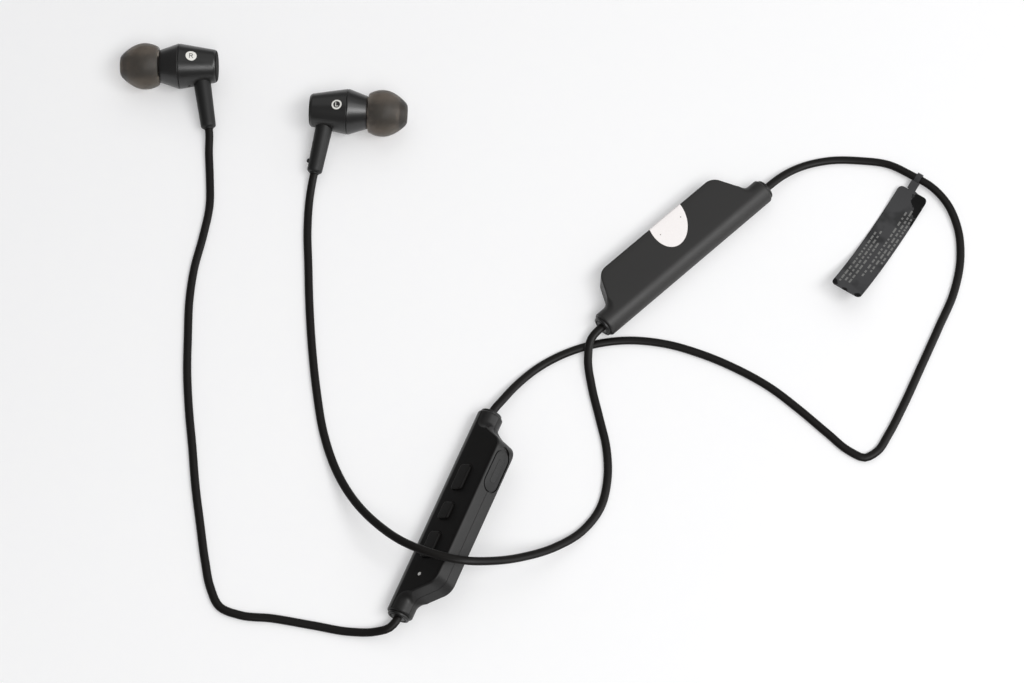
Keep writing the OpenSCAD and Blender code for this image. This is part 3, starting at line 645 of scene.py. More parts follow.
@dataclass
class Shape:
    """Points in millimetres and the faces between them."""

    points: list[Vector] = field(default_factory=list)
    faces: list[tuple[int, ...]] = field(default_factory=list)
    finish: list[int] = field(default_factory=list)

    def add_face(self, corners: Iterable[int], finish: int) -> None:
        """Adds one face with its finish."""
        self.faces.append(tuple(corners))
        self.finish.append(finish)

    def loft(
        self,
        rings: Sequence[Sequence[Vector]],
        caps: bool = True,
        closed: bool = False,
        finish: int = 0,
    ) -> "Shape":
        """Joins closed rings of equal count, one after another.

        Args:
            rings: The rings.
            caps: Whether the first and last ring are filled.
            closed: Whether the last ring joins the first.
            finish: Number of the finish.

        Returns:
            This shape.
        """
        start, count, total = len(self.points), len(rings[0]), len(rings)
        for ring in rings:
            self.points.extend(Vector(p) for p in ring)
        for r in range(total if closed else total - 1):
            low, high = start + r * count, start + (r + 1) % total * count
            for k in range(count):
                m = (k + 1) % count
                self.add_face((low + k, low + m, high + m, high + k), finish)
        if caps and not closed:
            self.add_face(range(start + count - 1, start - 1, -1), finish)
            self.add_face(range(start + (total - 1) * count, start + total * count), finish)
        return self

    def turn(self, profile: Profile, segments: int = 128, finish: int = 0) -> "Shape":
        """Revolves a closed outline about x.

        Args:
            profile: Radius and place along x of each corner.
            segments: Steps round the axis.
            finish: Number of the finish.

        Returns:
            This shape.
        """
        rings = []
        for step in range(segments):
            a = 2 * math.pi * step / segments
            rings.append([Vector((u, r * math.cos(a), r * math.sin(a))) for r, u in profile])
        return self.loft(rings, closed=True, finish=finish)

    def stack(self, outline: Callable[[float], Profile], levels: Sequence[Flat]) -> "Shape":
        """Stacks level outlines into a solid.

        Args:
            outline: Gives the outline drawn in by a distance.
            levels: Distance drawn in and height of each level.

        Returns:
            This shape.
        """
        return self.loft([[Vector((x, y, z)) for x, y in outline(inset)] for inset, z in levels])

    def moved(self, matrix: Matrix) -> "Shape":
        """Gives this shape moved by a matrix in millimetres."""
        return Shape([matrix @ p for p in self.points], list(self.faces), list(self.finish))

    def joined(self, other: "Shape") -> "Shape":
        """Adds another shape's points and faces to this one.

        Args:
            other: The shape that is added.

        Returns:
            This shape.
        """
        start = len(self.points)
        self.points.extend(other.points)
        for face, finish in zip(other.faces, other.finish):
            self.add_face((start + i for i in face), finish)
        return self

    def refinish(self, within: Callable[[Vector], bool], finish: int) -> "Shape":
        """Gives another finish to the faces that lie in a region.

        Args:
            within: Whether a point lies in it.
            finish: Number of the finish.

        Returns:
            This shape.
        """
        for number, face in enumerate(self.faces):
            if all(within(self.points[k]) for k in face):
                self.finish[number] = finish
        return self

    def mesh(self, name: str) -> bpy.types.Mesh:
        """Makes the mesh in metres, with its points merged and its faces turned outward.

        Args:
            name: The mesh's name.

        Returns:
            The mesh.
        """
        made = bpy.data.meshes.new(name)
        made.from_pydata([p * MM for p in self.points], [], self.faces)
        made.polygons.foreach_set("material_index", self.finish)
        work = bmesh.new()
        work.from_mesh(made)
        bmesh.ops.remove_doubles(work, verts=work.verts, dist=MERGE_DISTANCE)
        bmesh.ops.recalc_face_normals(work, faces=work.faces)
        work.to_mesh(made)
        work.free()
        return made


def cut_away(target: bpy.types.Object, cutter: Shape) -> None:
    """Cuts one shape out of an object and keeps the result as its mesh.

    Args:
        target: The object that is cut.
        cutter: What is taken away, in the row frame.
    """
    tool = bpy.data.objects.new("cutter", cutter.mesh("cutter"))
    bpy.context.scene.collection.objects.link(tool)
    step = target.modifiers.new("cut", "BOOLEAN")
    step.operation, step.solver, step.object, step.use_self = "DIFFERENCE", "EXACT", tool, True
    bpy.context.view_layer.update()
    whole = target.evaluated_get(bpy.context.evaluated_depsgraph_get())
    kept, old = bpy.data.meshes.new_from_object(whole), target.data
    target.modifiers.clear()
    kept.name = old.name
    target.data = kept
    bpy.data.objects.remove(tool)


def add_piece(
    name: str,
    shape: Shape,
    finishes: Sequence[Finish],
    body: Body,
    slot: Slot,
    stands_for: Sequence[str] = (),
    cutter: Optional[Shape] = None,
    crease: float = 35.0,
) -> bpy.types.Object:
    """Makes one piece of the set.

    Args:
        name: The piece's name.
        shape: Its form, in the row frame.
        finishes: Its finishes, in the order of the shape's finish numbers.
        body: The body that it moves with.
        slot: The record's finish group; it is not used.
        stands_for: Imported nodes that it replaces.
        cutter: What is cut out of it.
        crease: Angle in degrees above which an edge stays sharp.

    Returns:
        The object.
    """
    piece = bpy.data.objects.new(name, shape.mesh(name))
    bpy.context.scene.collection.objects.link(piece)
    for finish in finishes:
        piece.data.materials.append(finish_of(finish))
    if cutter is not None:
        cut_away(piece, cutter)
    piece.data.shade_smooth()
    piece.data.set_sharp_from_angle(angle=math.radians(crease))
    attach(piece, body.value)
    if stands_for:
        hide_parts(*stands_for)
    log.info("%s: %d faces, on %s", name, len(piece.data.polygons), body.value)
    return piece


def dress(node: str, finish: Finish) -> None:
    """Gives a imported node, whose shape is right, its finish.

    Args:
        node: The node's name.
        finish: Its finish.
    """
    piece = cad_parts[node]
    piece.data.materials.clear()
    piece.data.materials.append(finish_of(finish))
    piece.data.polygons.foreach_set("material_index", [0] * len(piece.data.polygons))
    log.info("%s: dressed in %s", node, finish.name)


def turn_z(angle: float) -> Matrix:
    """Gives a turn about the vertical, in degrees."""
    return Matrix.Rotation(math.radians(angle), 4, "Z")


# ---- Earbuds ----


@dataclass(frozen=True)
class Mark:
    """A printed side mark: where it stands on the rear shell, its ground and the strokes of its letter."""

    back: float
    turned: float
    ring: Flat
    strokes: tuple[tuple[Flat, Flat], ...]


SIDE_MARKS = {
    Side.RIGHT: Mark(
        3.45, -1.0, (0.02, 1.4),
        (((-0.42, -0.6), (-0.42, 0.6)), ((-0.42, 0.55), (0.2, 0.55)), ((0.2, 0.55), (0.36, 0.28)),
         ((0.36, 0.28), (0.2, 0.02)), ((0.2, 0.02), (-0.42, 0.02)), ((-0.05, 0.0), (0.42, -0.6))),
    ),
    Side.LEFT: Mark(
        2.55, 10.5, (0.88, 1.3), (((-0.25, -0.45), (-0.25, 0.5)), ((-0.25, -0.45), (0.32, -0.45)))
    ),
}
VENT_TURN = {Side.RIGHT: 190, Side.LEFT: -10}
TIP_BODY = {Side.RIGHT: Body.RIGHT_TIP, Side.LEFT: Body.LEFT_TIP}


@dataclass
class Earbud:
    """One earbud: ear tip, two shells and boot, in its own frame with x towards the ear tip."""

    side: Side
    centre: Place
    yaw: float
    boot_slant: float
    bud_r: float = 5.85
    ridge: float = 0.3
    front_r: float = 4.2
    rear_end_r: float = 4.3
    rim_r: float = 1.0
    end_band: float = 0.3  # depth of the part of the rim that is as matt as the end face
    front_len: float = 5.1
    rear_len: float = 9.8
    wall: float = 0.85
    floor_extra: float = 0.15
    lap_len: float = 1.2
    lap_relief: float = 0.2
    seat_r: float = 4.55
    seat_front: float = 0.9
    nozzle_len: float = 7.4
    nozzle_r: float = 2.3
    lip_r: float = 2.6
    lip_len: float = 1.1
    bore_r: float = 1.6
    mesh_r: float = 2.0
    mesh_recess: float = 0.35
    vent_r: float = 0.35
    vent_back: float = 2.6
    tip_gap: float = 0.25
    tip_r: float = 6.0
    tip_len: float = 9.9
    tip_front_r: float = 2.5
    tip_front_t: float = 1.95
    tip_crown: float = 6.2
    tip_wall: float = 0.6
    skirt_fall: float = 1.05
    sleeve_r: float = 3.45
    sleeve_bore_r: float = 2.65
    mouth_r: float = 2.0
    boot_setback: float = 5.2
    boot_dip: float = 12.8
    boot_len: float = 17.1
    boot_root_r: float = 2.2
    boot_end_r: float = 1.95
    boot_round: float = 0.7
    boot_foot_r: float = 2.6
    boot_foot_t: float = 0.7
    boot_collar: float = 1.0  # length of the boot's end past its taper
    bump_r: float = 0.6
    bump_back: float = 3.2
    fit_gap: float = 0.05

    @property
    def place(self) -> Matrix:
        """The bud's frame in the row frame."""
        mirror = Matrix.Scale(-1, 4, Vector((1, 0, 0))) if self.side is Side.RIGHT else Matrix.Identity(4)
        return Matrix.Translation(self.centre) @ turn_z(self.yaw) @ mirror

    @property
    def boot_place(self) -> Matrix:
        """The boot's frame in the row frame, with x along the boot."""
        turn = turn_z(270 - self.boot_slant) @ Matrix.Rotation(math.radians(self.boot_dip), 4, "Y")
        return self.place @ Matrix.Translation((-self.boot_setback, 0, 0)) @ turn

    def boot_exit(self) -> Vector:
        """Where the cord leaves the boot."""
        return self.boot_place @ Vector((self.boot_len, 0, 0))

    def boot_heading(self) -> Vector:
        """The direction in which the cord leaves the boot."""
        return (self.boot_exit() - self.boot_place @ Vector((0, 0, 0))).normalized()

    def rear_r(self, back: float) -> float:
        """Radius of the rear shell at a distance behind the front shell."""
        fall = self.bud_r - self.rear_end_r
        return self.bud_r - fall * (back - self.ridge) / (self.rear_len - self.rim_r)

    def name(self, piece: str) -> str:
        """The name of one of this bud's pieces."""
        return f"{self.side.value}_{piece}"

    def tip_radius(self, back: float) -> float:
        """Radius of the ear tip: a blunt dome and a skirt that draws in.

        Args:
            back: Distance behind the tip's front.

        Returns:
            The radius there.
        """
        if back < self.tip_crown:
            rise = math.sin(math.pi / 2 * back / self.tip_crown)
            return self.tip_front_r + (self.tip_r - self.tip_front_r) * rise**0.85
        fall = (back - self.tip_crown) / (self.tip_len - self.tip_crown)
        return self.tip_r - self.skirt_fall * fall**2.2

    def tip_shape(self) -> Shape:
        """The dome with its skirt, front ring and sleeve, as one turned skin."""
        rear = self.front_len + self.tip_gap
        front, nozzle_end = rear + self.tip_len, self.front_len + self.nozzle_len
        pocket, hem_r = front - self.tip_front_t, self.tip_radius(self.tip_len)
        sleeve, bore = self.sleeve_r, self.sleeve_bore_r
        dome_places = (front - self.tip_len * i / 44 for i in range(1, 44))
        dome = [(self.tip_radius(front - u), u) for u in dome_places]
        lining_places = (rear + (pocket - 0.25 - rear) * i / 20 for i in range(21))
        lining = [(self.tip_radius(front - u) - self.tip_wall, u) for u in lining_places]
        mouth, ring = self.mouth_r, self.tip_front_r
        core = [
            (sleeve + 0.2, pocket - 0.02), (sleeve + 0.08, pocket - 0.04), (sleeve, pocket - 0.3),
            (sleeve, rear + 0.8), (sleeve - 0.15, rear + 0.62), (bore, rear + 0.6), (bore, nozzle_end + 0.25),
            (mouth, nozzle_end + 0.65), (mouth, front - 0.15), (mouth + 0.06, front - 0.03),
            (mouth + 0.15, front), (ring - 0.12, front), (ring - 0.04, front - 0.03),
        ]
        hem = [(hem_r - 0.04, rear + 0.04), (hem_r - 0.15, rear)]
        return Shape().turn([(ring + 0.02, front - 0.1), *dome, *hem, *lining, *core], 144)

    def front_shape(self) -> Shape:
        """The front cone with its nozzle, lip and bore."""
        end = self.front_len + self.nozzle_len
        root, lip, mesh = self.front_len + self.lip_len, end - self.lip_len, end - self.mesh_recess
        lap, inner = self.bud_r - self.wall - self.fit_gap, self.front_r - self.wall
        corners = [
            (self.seat_r, -self.lap_len, 0), (lap, -self.lap_len, 0), (lap, 0, 0), (self.bud_r - 0.06, 0, 0),
            (self.bud_r, 0.06, 0.05), (self.bud_r, self.ridge, 0.5), (self.front_r, self.front_len, 0.35),
            (self.lip_r, self.front_len, 0.1), (self.lip_r, root, 0.1), (self.nozzle_r, root, 0.1),
            (self.nozzle_r, lip, 0.1), (self.lip_r, lip, 0.1), (self.lip_r, end - 0.3, 0.1),
            (self.nozzle_r, end, 0.1), (self.mesh_r, end, 0), (self.mesh_r, mesh, 0),
            (self.bore_r, mesh, 0.05), (self.bore_r, self.front_len - 1.2, 0.1), (inner, 1.7, 0.2),
            (inner, self.seat_front, 0), (self.seat_r, self.seat_front, 0),
        ]
        return Shape().turn(soften(corners), 160)

    def rear_shape(self) -> Shape:
        """The rear shell: a cup that tapers to a round rim, with a matt end face."""
        floor, lap_end = self.rear_len - self.wall - self.floor_extra, self.lap_len + self.lap_relief
        inner = self.bud_r - self.wall
        rim_middle = self.rear_r(self.rear_len - self.rim_r) - self.rim_r
        profile = [
            (self.bud_r - 0.08, -0.1), (self.bud_r, -0.18), (self.bud_r, -0.3),
            *arc(rim_middle, self.rim_r - self.rear_len, self.rim_r, 0, -90, 14),
            (2.2, -self.rear_len), (0, -self.rear_len), (0, -floor), (self.rear_r(floor) - self.wall, -floor),
            (self.rear_r(lap_end) - self.wall, -lap_end), (inner, -lap_end), (inner, -0.1),
        ]
        return Shape().turn(profile, 160).refinish(lambda p: p.x < self.end_band - self.rear_len, 1)

    def rear_cuts(self) -> Shape:
        """The hole that the boot stands in and the vent."""
        hole_r = self.boot_root_r + self.fit_gap
        hole = Shape().turn([(0, 2.5), (hole_r, 2.5), (hole_r, 12), (0, 12)], 64)
        vent = Shape().turn([(0, 3), (self.vent_r, 3), (self.vent_r, 8), (0, 8)], 32)
        point = Matrix.Rotation(math.radians(VENT_TURN[self.side]), 4, "X") @ turn_z(90)
        vent_place = self.place @ Matrix.Translation((-self.vent_back, 0, 0)) @ point
        return hole.moved(self.boot_place).joined(vent.moved(vent_place))

    def boot_shape(self) -> Shape:
        """The boot: a tapered sleeve with a round end and a small collar round the cord."""
        shell_r = self.rear_r(self.boot_setback) - self.wall - 0.25
        shoulder = math.sqrt(shell_r**2 - self.boot_foot_r**2) - self.fit_gap
        foot, taper_end = shoulder - self.boot_foot_t, self.boot_len - self.boot_collar
        taper = [
            (self.boot_root_r + (self.boot_end_r - self.boot_root_r) * share,
             self.bud_r + (taper_end - self.bud_r) * share)
            for share in (i / 8 for i in range(8))
        ]
        profile = [
            (0, foot), (self.boot_foot_r, foot), (self.boot_foot_r, shoulder), (self.boot_root_r, shoulder),
            *taper, *arc(self.boot_end_r - self.boot_round, taper_end, self.boot_round, 0, 90, 8),
            (1.27, self.boot_len - 0.26), (1.25, self.boot_len - 0.2), (1.22, self.boot_len - 0.03),
            (1.15, self.boot_len), (0, self.boot_len),
        ]
        shape = Shape().turn(profile, 96)
        if self.side is Side.LEFT:
            half_turn = (math.pi * i / 12 for i in range(13))
            ball = [(self.bump_r * math.sin(a), self.bump_r * math.cos(a)) for a in half_turn]
            bump = Shape().turn(ball, 32)
            lift = Matrix.Translation((self.boot_len - self.bump_back, -self.boot_end_r - 0.05, 0))
            shape.joined(bump.moved(lift))
        return shape.moved(self.boot_place)

    def build(self) -> None:
        """Builds and dresses the bud's pieces."""
        tip = self.tip_shape().moved(self.place)
        front, rear = self.front_shape().moved(self.place), self.rear_shape().moved(self.place)
        plastic = (Body.SET, Slot.HOUSING_PLASTIC)
        add_piece(
            self.name("ear_tip_skin"), tip, [TIP_SILICONE], TIP_BODY[self.side], Slot.SILICONE,
            [self.name("ear_tip")],
        )
        add_piece(self.name("front_cone"), front, [BUD_ABS], *plastic, [self.name("front_shell")])
        add_piece(
            self.name("rear_cup"), rear, [BUD_ABS, BUD_END], *plastic, [self.name("rear_shell")],
            self.rear_cuts(),
        )
        add_piece(
            self.name("boot_sleeve"), self.boot_shape(), [BOOT_TPE], Body.SET, Slot.RUBBER,
            [self.name("boot")],
        )
        mark = MarkPrint(self, SIDE_MARKS[self.side]).shape()
        add_piece(self.name("side_mark"), mark, [MARK_INK, LETTER_INK], *plastic)
        for node, finish in (
            ("nozzle_mesh", MESH_STEEL), ("driver_basket", PRESSED_STEEL),
            ("driver_magnet", MAGNET_NICKEL), ("driver_diaphragm", DRIVER_FILM),
        ):
            dress(self.name(node), finish)


@dataclass
class MarkPrint:
    """A side mark in white ink: a disc or ring with a letter, wrapped round a rear shell."""

    bud: Earbud
    mark: Mark
    stroke_half: float = 0.09
    ink: float = 0.02
    over_shell: float = 0.005

    def wrap(self, right: float, up: float, lift: float) -> Vector:
        """Lays a point of the flat mark on the shell.

        Args:
            right: Place to the viewer's right, from the mark's centre.
            up: Place away from the viewer, from the mark's centre.
            lift: Height over the shell.

        Returns:
            The point in the row frame.
        """
        along = -right if self.bud.side is Side.RIGHT else right
        x = along - self.mark.back
        r = self.bud.rear_r(-x) + lift
        a = math.radians(self.mark.turned) - up / r
        return self.bud.place @ Vector((x, -r * math.sin(a), r * math.cos(a)))

    def slab(self, rows: Sequence[Profile], low: float, high: float, closed: bool, finish: int) -> Shape:
        """Makes a thin wrapped skin out of rows of points.

        Args:
            rows: The rows, all of one count.
            low: Height of its under side over the shell.
            high: Height of its upper side.
            closed: Whether each row is a ring.
            finish: Number of the finish.

        Returns:
            The skin.
        """
        count, last = len(rows[0]), len(rows) - 1
        offset = len(rows) * count
        shape = Shape([self.wrap(x, y, lift) for lift in (low, high) for row in rows for x, y in row])
        pairs = [(k, (k + 1) % count) for k in range(count if closed else count - 1)]
        for level in (0, offset):
            for row in range(last):
                base = level + row * count
                for k, m in pairs:
                    face = (base + k, base + m, base + m + count, base + k + count)
                    shape.add_face(face if level else face[::-1], finish)
        rims = [(row * count + k, row * count + m) for row in (0, last) for k, m in pairs]
        if not closed:
            rims += [(row * count + k, (row + 1) * count + k) for k in (0, count - 1) for row in range(last)]
        for a, b in rims:
            shape.add_face((a, b, b + offset, a + offset), finish)
        return shape

    def shape(self) -> Shape:
        """Makes the disc or ring and the letter."""
        inner, outer = self.mark.ring
        radii = [inner + (outer - inner) * i / 6 for i in range(7)]
        turns = [math.pi * k / 24 for k in range(48)]
        rings = [[(r * math.cos(a), r * math.sin(a)) for a in turns] for r in radii]
        out = self.slab(rings, self.over_shell, self.ink, True, 0)
        on_disc = inner < 0.1
        low = self.ink if on_disc else self.over_shell
        for (x0, y0), (x1, y1) in self.mark.strokes:
            start, run = Vector((x0, y0)), Vector((x1 - x0, y1 - y0))
            side = Vector((-run.y, run.x)).normalized() * self.stroke_half
            tip = run.normalized() * self.stroke_half
            middles = [start - tip + (run + 2 * tip) * i / 3 for i in range(4)]
            strip = [[tuple(p - side), tuple(p), tuple(p + side)] for p in middles]
            out.joined(self.slab(strip, low, low + 0.02, False, 1 if on_disc else 0))
        return out


# ---- Pods ----

SHELL_CREASE = 28.0  # degrees above which an edge of a pod shell stays sharp


@dataclass(frozen=True)
class Station:
    """One cross-section of a pod: a point of its outline, the way out of the pod there, and its rounding."""

    x: float
    y: float
    out_x: float
    out_y: float
    rim: float
    shrink: float = 0.0

    def drawn_in(self, inset: float, z: float) -> Vector:
        """Gives a point on the outline drawn in by a distance."""
        return Vector((self.x - inset * self.out_x, self.y - inset * self.out_y, z))

    def mirrored(self) -> "Station":
        """Gives the station at the other end of the pod."""
        return replace(self, x=-self.x, out_x=-self.out_x)


@dataclass
class Pod:
    """The form that both pods share: a round spine, flat faces, a straight edge and two curved shoulders."""

    name: str
    place: Matrix
    length: float = 57.4
    wide: float = 13.9
    spine_r: float = 3.2
    wall: float = 0.9
    end_wall: float = 1.0
    end_len: float = 11.2
    corner_r: float = 3.6
    foot_r: float = 3.0
    foot_lift: float = 0.1
    shoulder_angle: float = 63.0
    rim: float = 0.4
    rim_rise: float = 1.1  # height over the neck where the rim has its full sharpness
    rim_power: float = 1.6
    gap: float = 0.1
    hole_r: float = 1.75
    end_round: float = 0.5
    grommet_out: float = 0.7
    grommet_r: float = 2.7
    grommet_neck_r: float = 1.7
    flange_r: float = 2.2
    groove: Flat = (1.8, 2.1)
    groove_deep: float = 0.3
    face_finish: int = 0

    @property
    def edge(self) -> float:
        """Distance of the straight edge from the spine's axis."""
        return self.wide - self.spine_r

    @property
    def edge_half(self) -> float:
        """Half the length of the straight edge."""
        return self.length / 2 - self.end_len

    @property
    def shell_end(self) -> float:
        """Distance of the shell's end from its middle."""
        return self.length / 2 - self.grommet_out

    @property
    def cavity_end(self) -> float:
        """Distance of the cavity's end from the pod's middle."""
        return self.shell_end - self.end_wall

    def end_point(self, end: End) -> Vector:
        """Where the cord leaves one end of the pod."""
        return self.place @ Vector((end.value * self.length / 2, 0, 0))

    def axis(self) -> Vector:
        """Direction of the spine, towards the upper end."""
        return (self.end_point(End.UPPER) - self.end_point(End.LOWER)).normalized()

    def foot_rim(self, y: float) -> float:
        """Rounding of the rim where the outline stands at y: it grows into the round of the neck."""
        share = max(0.0, 1 - (y - self.spine_r - self.foot_lift) / self.rim_rise)
        return self.rim + (self.spine_r - self.foot_lift - self.rim) * share**self.rim_power

    def shoulder(self) -> list[Station]:
        """The cross-sections of the upper shoulder, from the straight edge's corner down to the neck."""
        rise = 90 - self.shoulder_angle
        foot_level = self.spine_r + self.foot_lift
        corner_y = self.edge - self.corner_r
        drop = foot_level + self.foot_r - corner_y
        foot_x = self.edge_half + (
            self.corner_r + self.foot_r - drop * math.sin(math.radians(rise))
        ) / math.cos(math.radians(rise))
        corner: list[Station] = []
        for i in range(15):
            a = math.radians(90 - (90 - rise) * i / 14)
            c, s = math.cos(a), math.sin(a)
            x, y = self.edge_half + self.corner_r * c, corner_y + self.corner_r * s
            corner.append(Station(x, y, c, s, self.rim))
        foot: list[Station] = []
        for i in range(21):
            a = math.radians(180 + rise + (90 - rise) * i / 20)
            c, s = math.cos(a), math.sin(a)
            y = foot_level + self.foot_r + self.foot_r * s
            foot.append(Station(foot_x + self.foot_r * c, y, -c, -s, self.foot_rim(y)))
        first, last = corner[-1], foot[0]
        slope = [
            replace(first, x=first.x + (last.x - first.x) * t, y=first.y + (last.y - first.y) * t)
            for t in (i / 6 for i in range(1, 6))
        ]
        return corner + slope + foot

    def stations(self) -> list[Station]:
        """The cross-sections from the lower end to the upper one."""
        edge = [Station(self.edge_half * i / 12, self.edge, 0, 1, self.rim) for i in range(12)]
        level = self.spine_r + self.foot_lift
        neck_rim = self.foot_rim(level)
        neck = [
            Station(x, level, 0, 1, neck_rim)
            for x in (self.cavity_end - 0.05, self.cavity_end + 0.05, self.shell_end - self.end_round)
        ]
        for a in (math.radians(90 * i / 7) for i in range(1, 8)):
            x = self.shell_end - self.end_round * (1 - math.sin(a))
            neck.append(Station(x, level, 0, 1, neck_rim, self.end_round * (1 - math.cos(a))))
        upper = edge + self.shoulder() + neck
        return [station.mirrored() for station in reversed(upper[1:])] + upper

    def section(self, at: Station, inset: float, half: Half) -> list[Vector]:
        """Gives half of a cross-section, from the wall at the straight edge over the face to the spine.

        Args:
            at: The station.
            inset: Distance inside the outer skin.
            half: The half of the pod.

        Returns:
            The points in the pod's frame.
        """
        low, drawn = self.gap / 2, at.shrink + inset
        r, rim = self.spine_r - drawn, max(0.04, at.rim - drawn)
        top = max(low + 0.02, r - rim)
        points = [at.drawn_in(drawn, low + (top - low) * i / 3) for i in range(4)]
        for a in (math.radians(90 * i / 8) for i in range(1, 9)):
            points.append(at.drawn_in(drawn + rim * (1 - math.cos(a)), r - rim + rim * math.sin(a)))
        crest = points[-1].copy()
        points += [crest.lerp(Vector((at.x, 0, r)), i / 6) for i in range(1, 7)]
        last = math.acos(min(1.0, low / r))
        spine = (last * i / 24 for i in range(1, 25))
        points += [Vector((at.x, -r * math.sin(a), r * math.cos(a))) for a in spine]
        return [Vector((p.x, p.y, half.value * p.z)) for p in points]

    def inner_section(self, at: Station, outer: Sequence[Vector], half: Half) -> list[Vector]:
        """Gives the inner side of a cross-section: the cavity, or the cord's hole beyond the cavity's end.

        Args:
            at: The station.
            outer: The outer side there.
            half: The half of the pod.

        Returns:
            As many points as the outer side has.
        """
        end = math.copysign(self.cavity_end, at.x)
        if abs(at.x) < self.cavity_end:
            inner = self.section(at, self.wall, half)
            for p in inner:
                near_end = abs(at.x) > self.cavity_end - 0.1
                p.x = end if near_end else max(-self.cavity_end, min(self.cavity_end, p.x))
            return inner
        x = end if abs(at.x) < self.cavity_end + 0.1 else at.x
        parting = half.value * self.gap / 2
        round_hole = [Vector((p.y, p.z)).normalized() * self.hole_r for p in outer]
        return [Vector((x, p.x, parting if abs(p.y) < self.gap / 2 else p.y)) for p in round_hole]

    def shell_shape(self, half: Half) -> Shape:
        """Gives one hollow half shell with its half of each cord hole.

        Args:
            half: The half of the pod.

        Returns:
            The shell, whose flat face has the face's finish.
        """
        rings = []
        for at in self.stations():
            outer = self.section(at, 0, half)
            rings.append(outer + self.inner_section(at, outer, half)[::-1])
        shape = Shape().loft(rings, caps=False)
        count, total = len(rings[0]), len(rings)
        for start in (0, (total - 1) * count):
            for k in range(count // 2 - 1):
                shape.add_face((start + k, start + k + 1, start + count - 2 - k, start + count - 1 - k), 0)
        shape.refinish(lambda p: p.z > self.spine_r - 0.02, self.face_finish)
        return shape.moved(self.place)

    def grommet_shape(self, end: End) -> Shape:
        """Gives the rubber ring at one end: a head with a groove in its face, a neck and an inner flange.

        Args:
            end: The end of the pod.

        Returns:
            The ring.
        """
        head, tip = self.shell_end + 0.05, self.length / 2
        flange, bottom = self.shell_end - 1.05, tip - self.groove_deep
        flange_end, (inner, outer) = self.shell_end - 1.85, self.groove
        corners = [
            (0, flange_end, 0), (self.flange_r, flange_end, 0.1), (self.flange_r, flange, 0.1),
            (self.grommet_neck_r, flange, 0), (self.grommet_neck_r, head, 0), (self.grommet_r, head, 0.1),
            (self.grommet_r, tip, 0.25), (outer, tip, 0.06), (outer, bottom, 0.05), (inner, bottom, 0.05),
            (inner, tip, 0.06), (0, tip, 0),
        ]
        spin = Matrix.Identity(4) if end is End.UPPER else Matrix.Scale(-1, 4, Vector((1, 0, 0)))
        return Shape().turn(soften(corners, 4), 96).moved(self.place @ spin)

    def grommets(self) -> None:
        """Builds both grommets."""
        for end in End:
            label = end.name.lower()
            add_piece(
                f"{self.name}_{label}_ring", self.grommet_shape(end), [GROMMET_TPE], Body.SET, Slot.RUBBER,
                [f"{self.name}_{label}_grommet"],
            )


def pad(length: float, width: float, corner: float, levels: Sequence[Flat]) -> Shape:
    """Gives a block with round corners whose outline is drawn in by level.

    Args:
        length: Its size along x.
        width: Its size along y.
        corner: Radius of its corners.
        levels: Distance drawn in and height of each level.

    Returns:
        The block.
    """

    def outline(inset: float) -> Profile:
        """The outline drawn in by a distance."""
        return rounded_box(length - 2 * inset, width - 2 * inset, max(0.05, corner - inset))

    return Shape().stack(outline, levels)


def shifted(x: float, y: float = 0.0) -> Matrix:
    """Gives a move in the plane of a face."""
    return Matrix.Translation((x, y, 0))


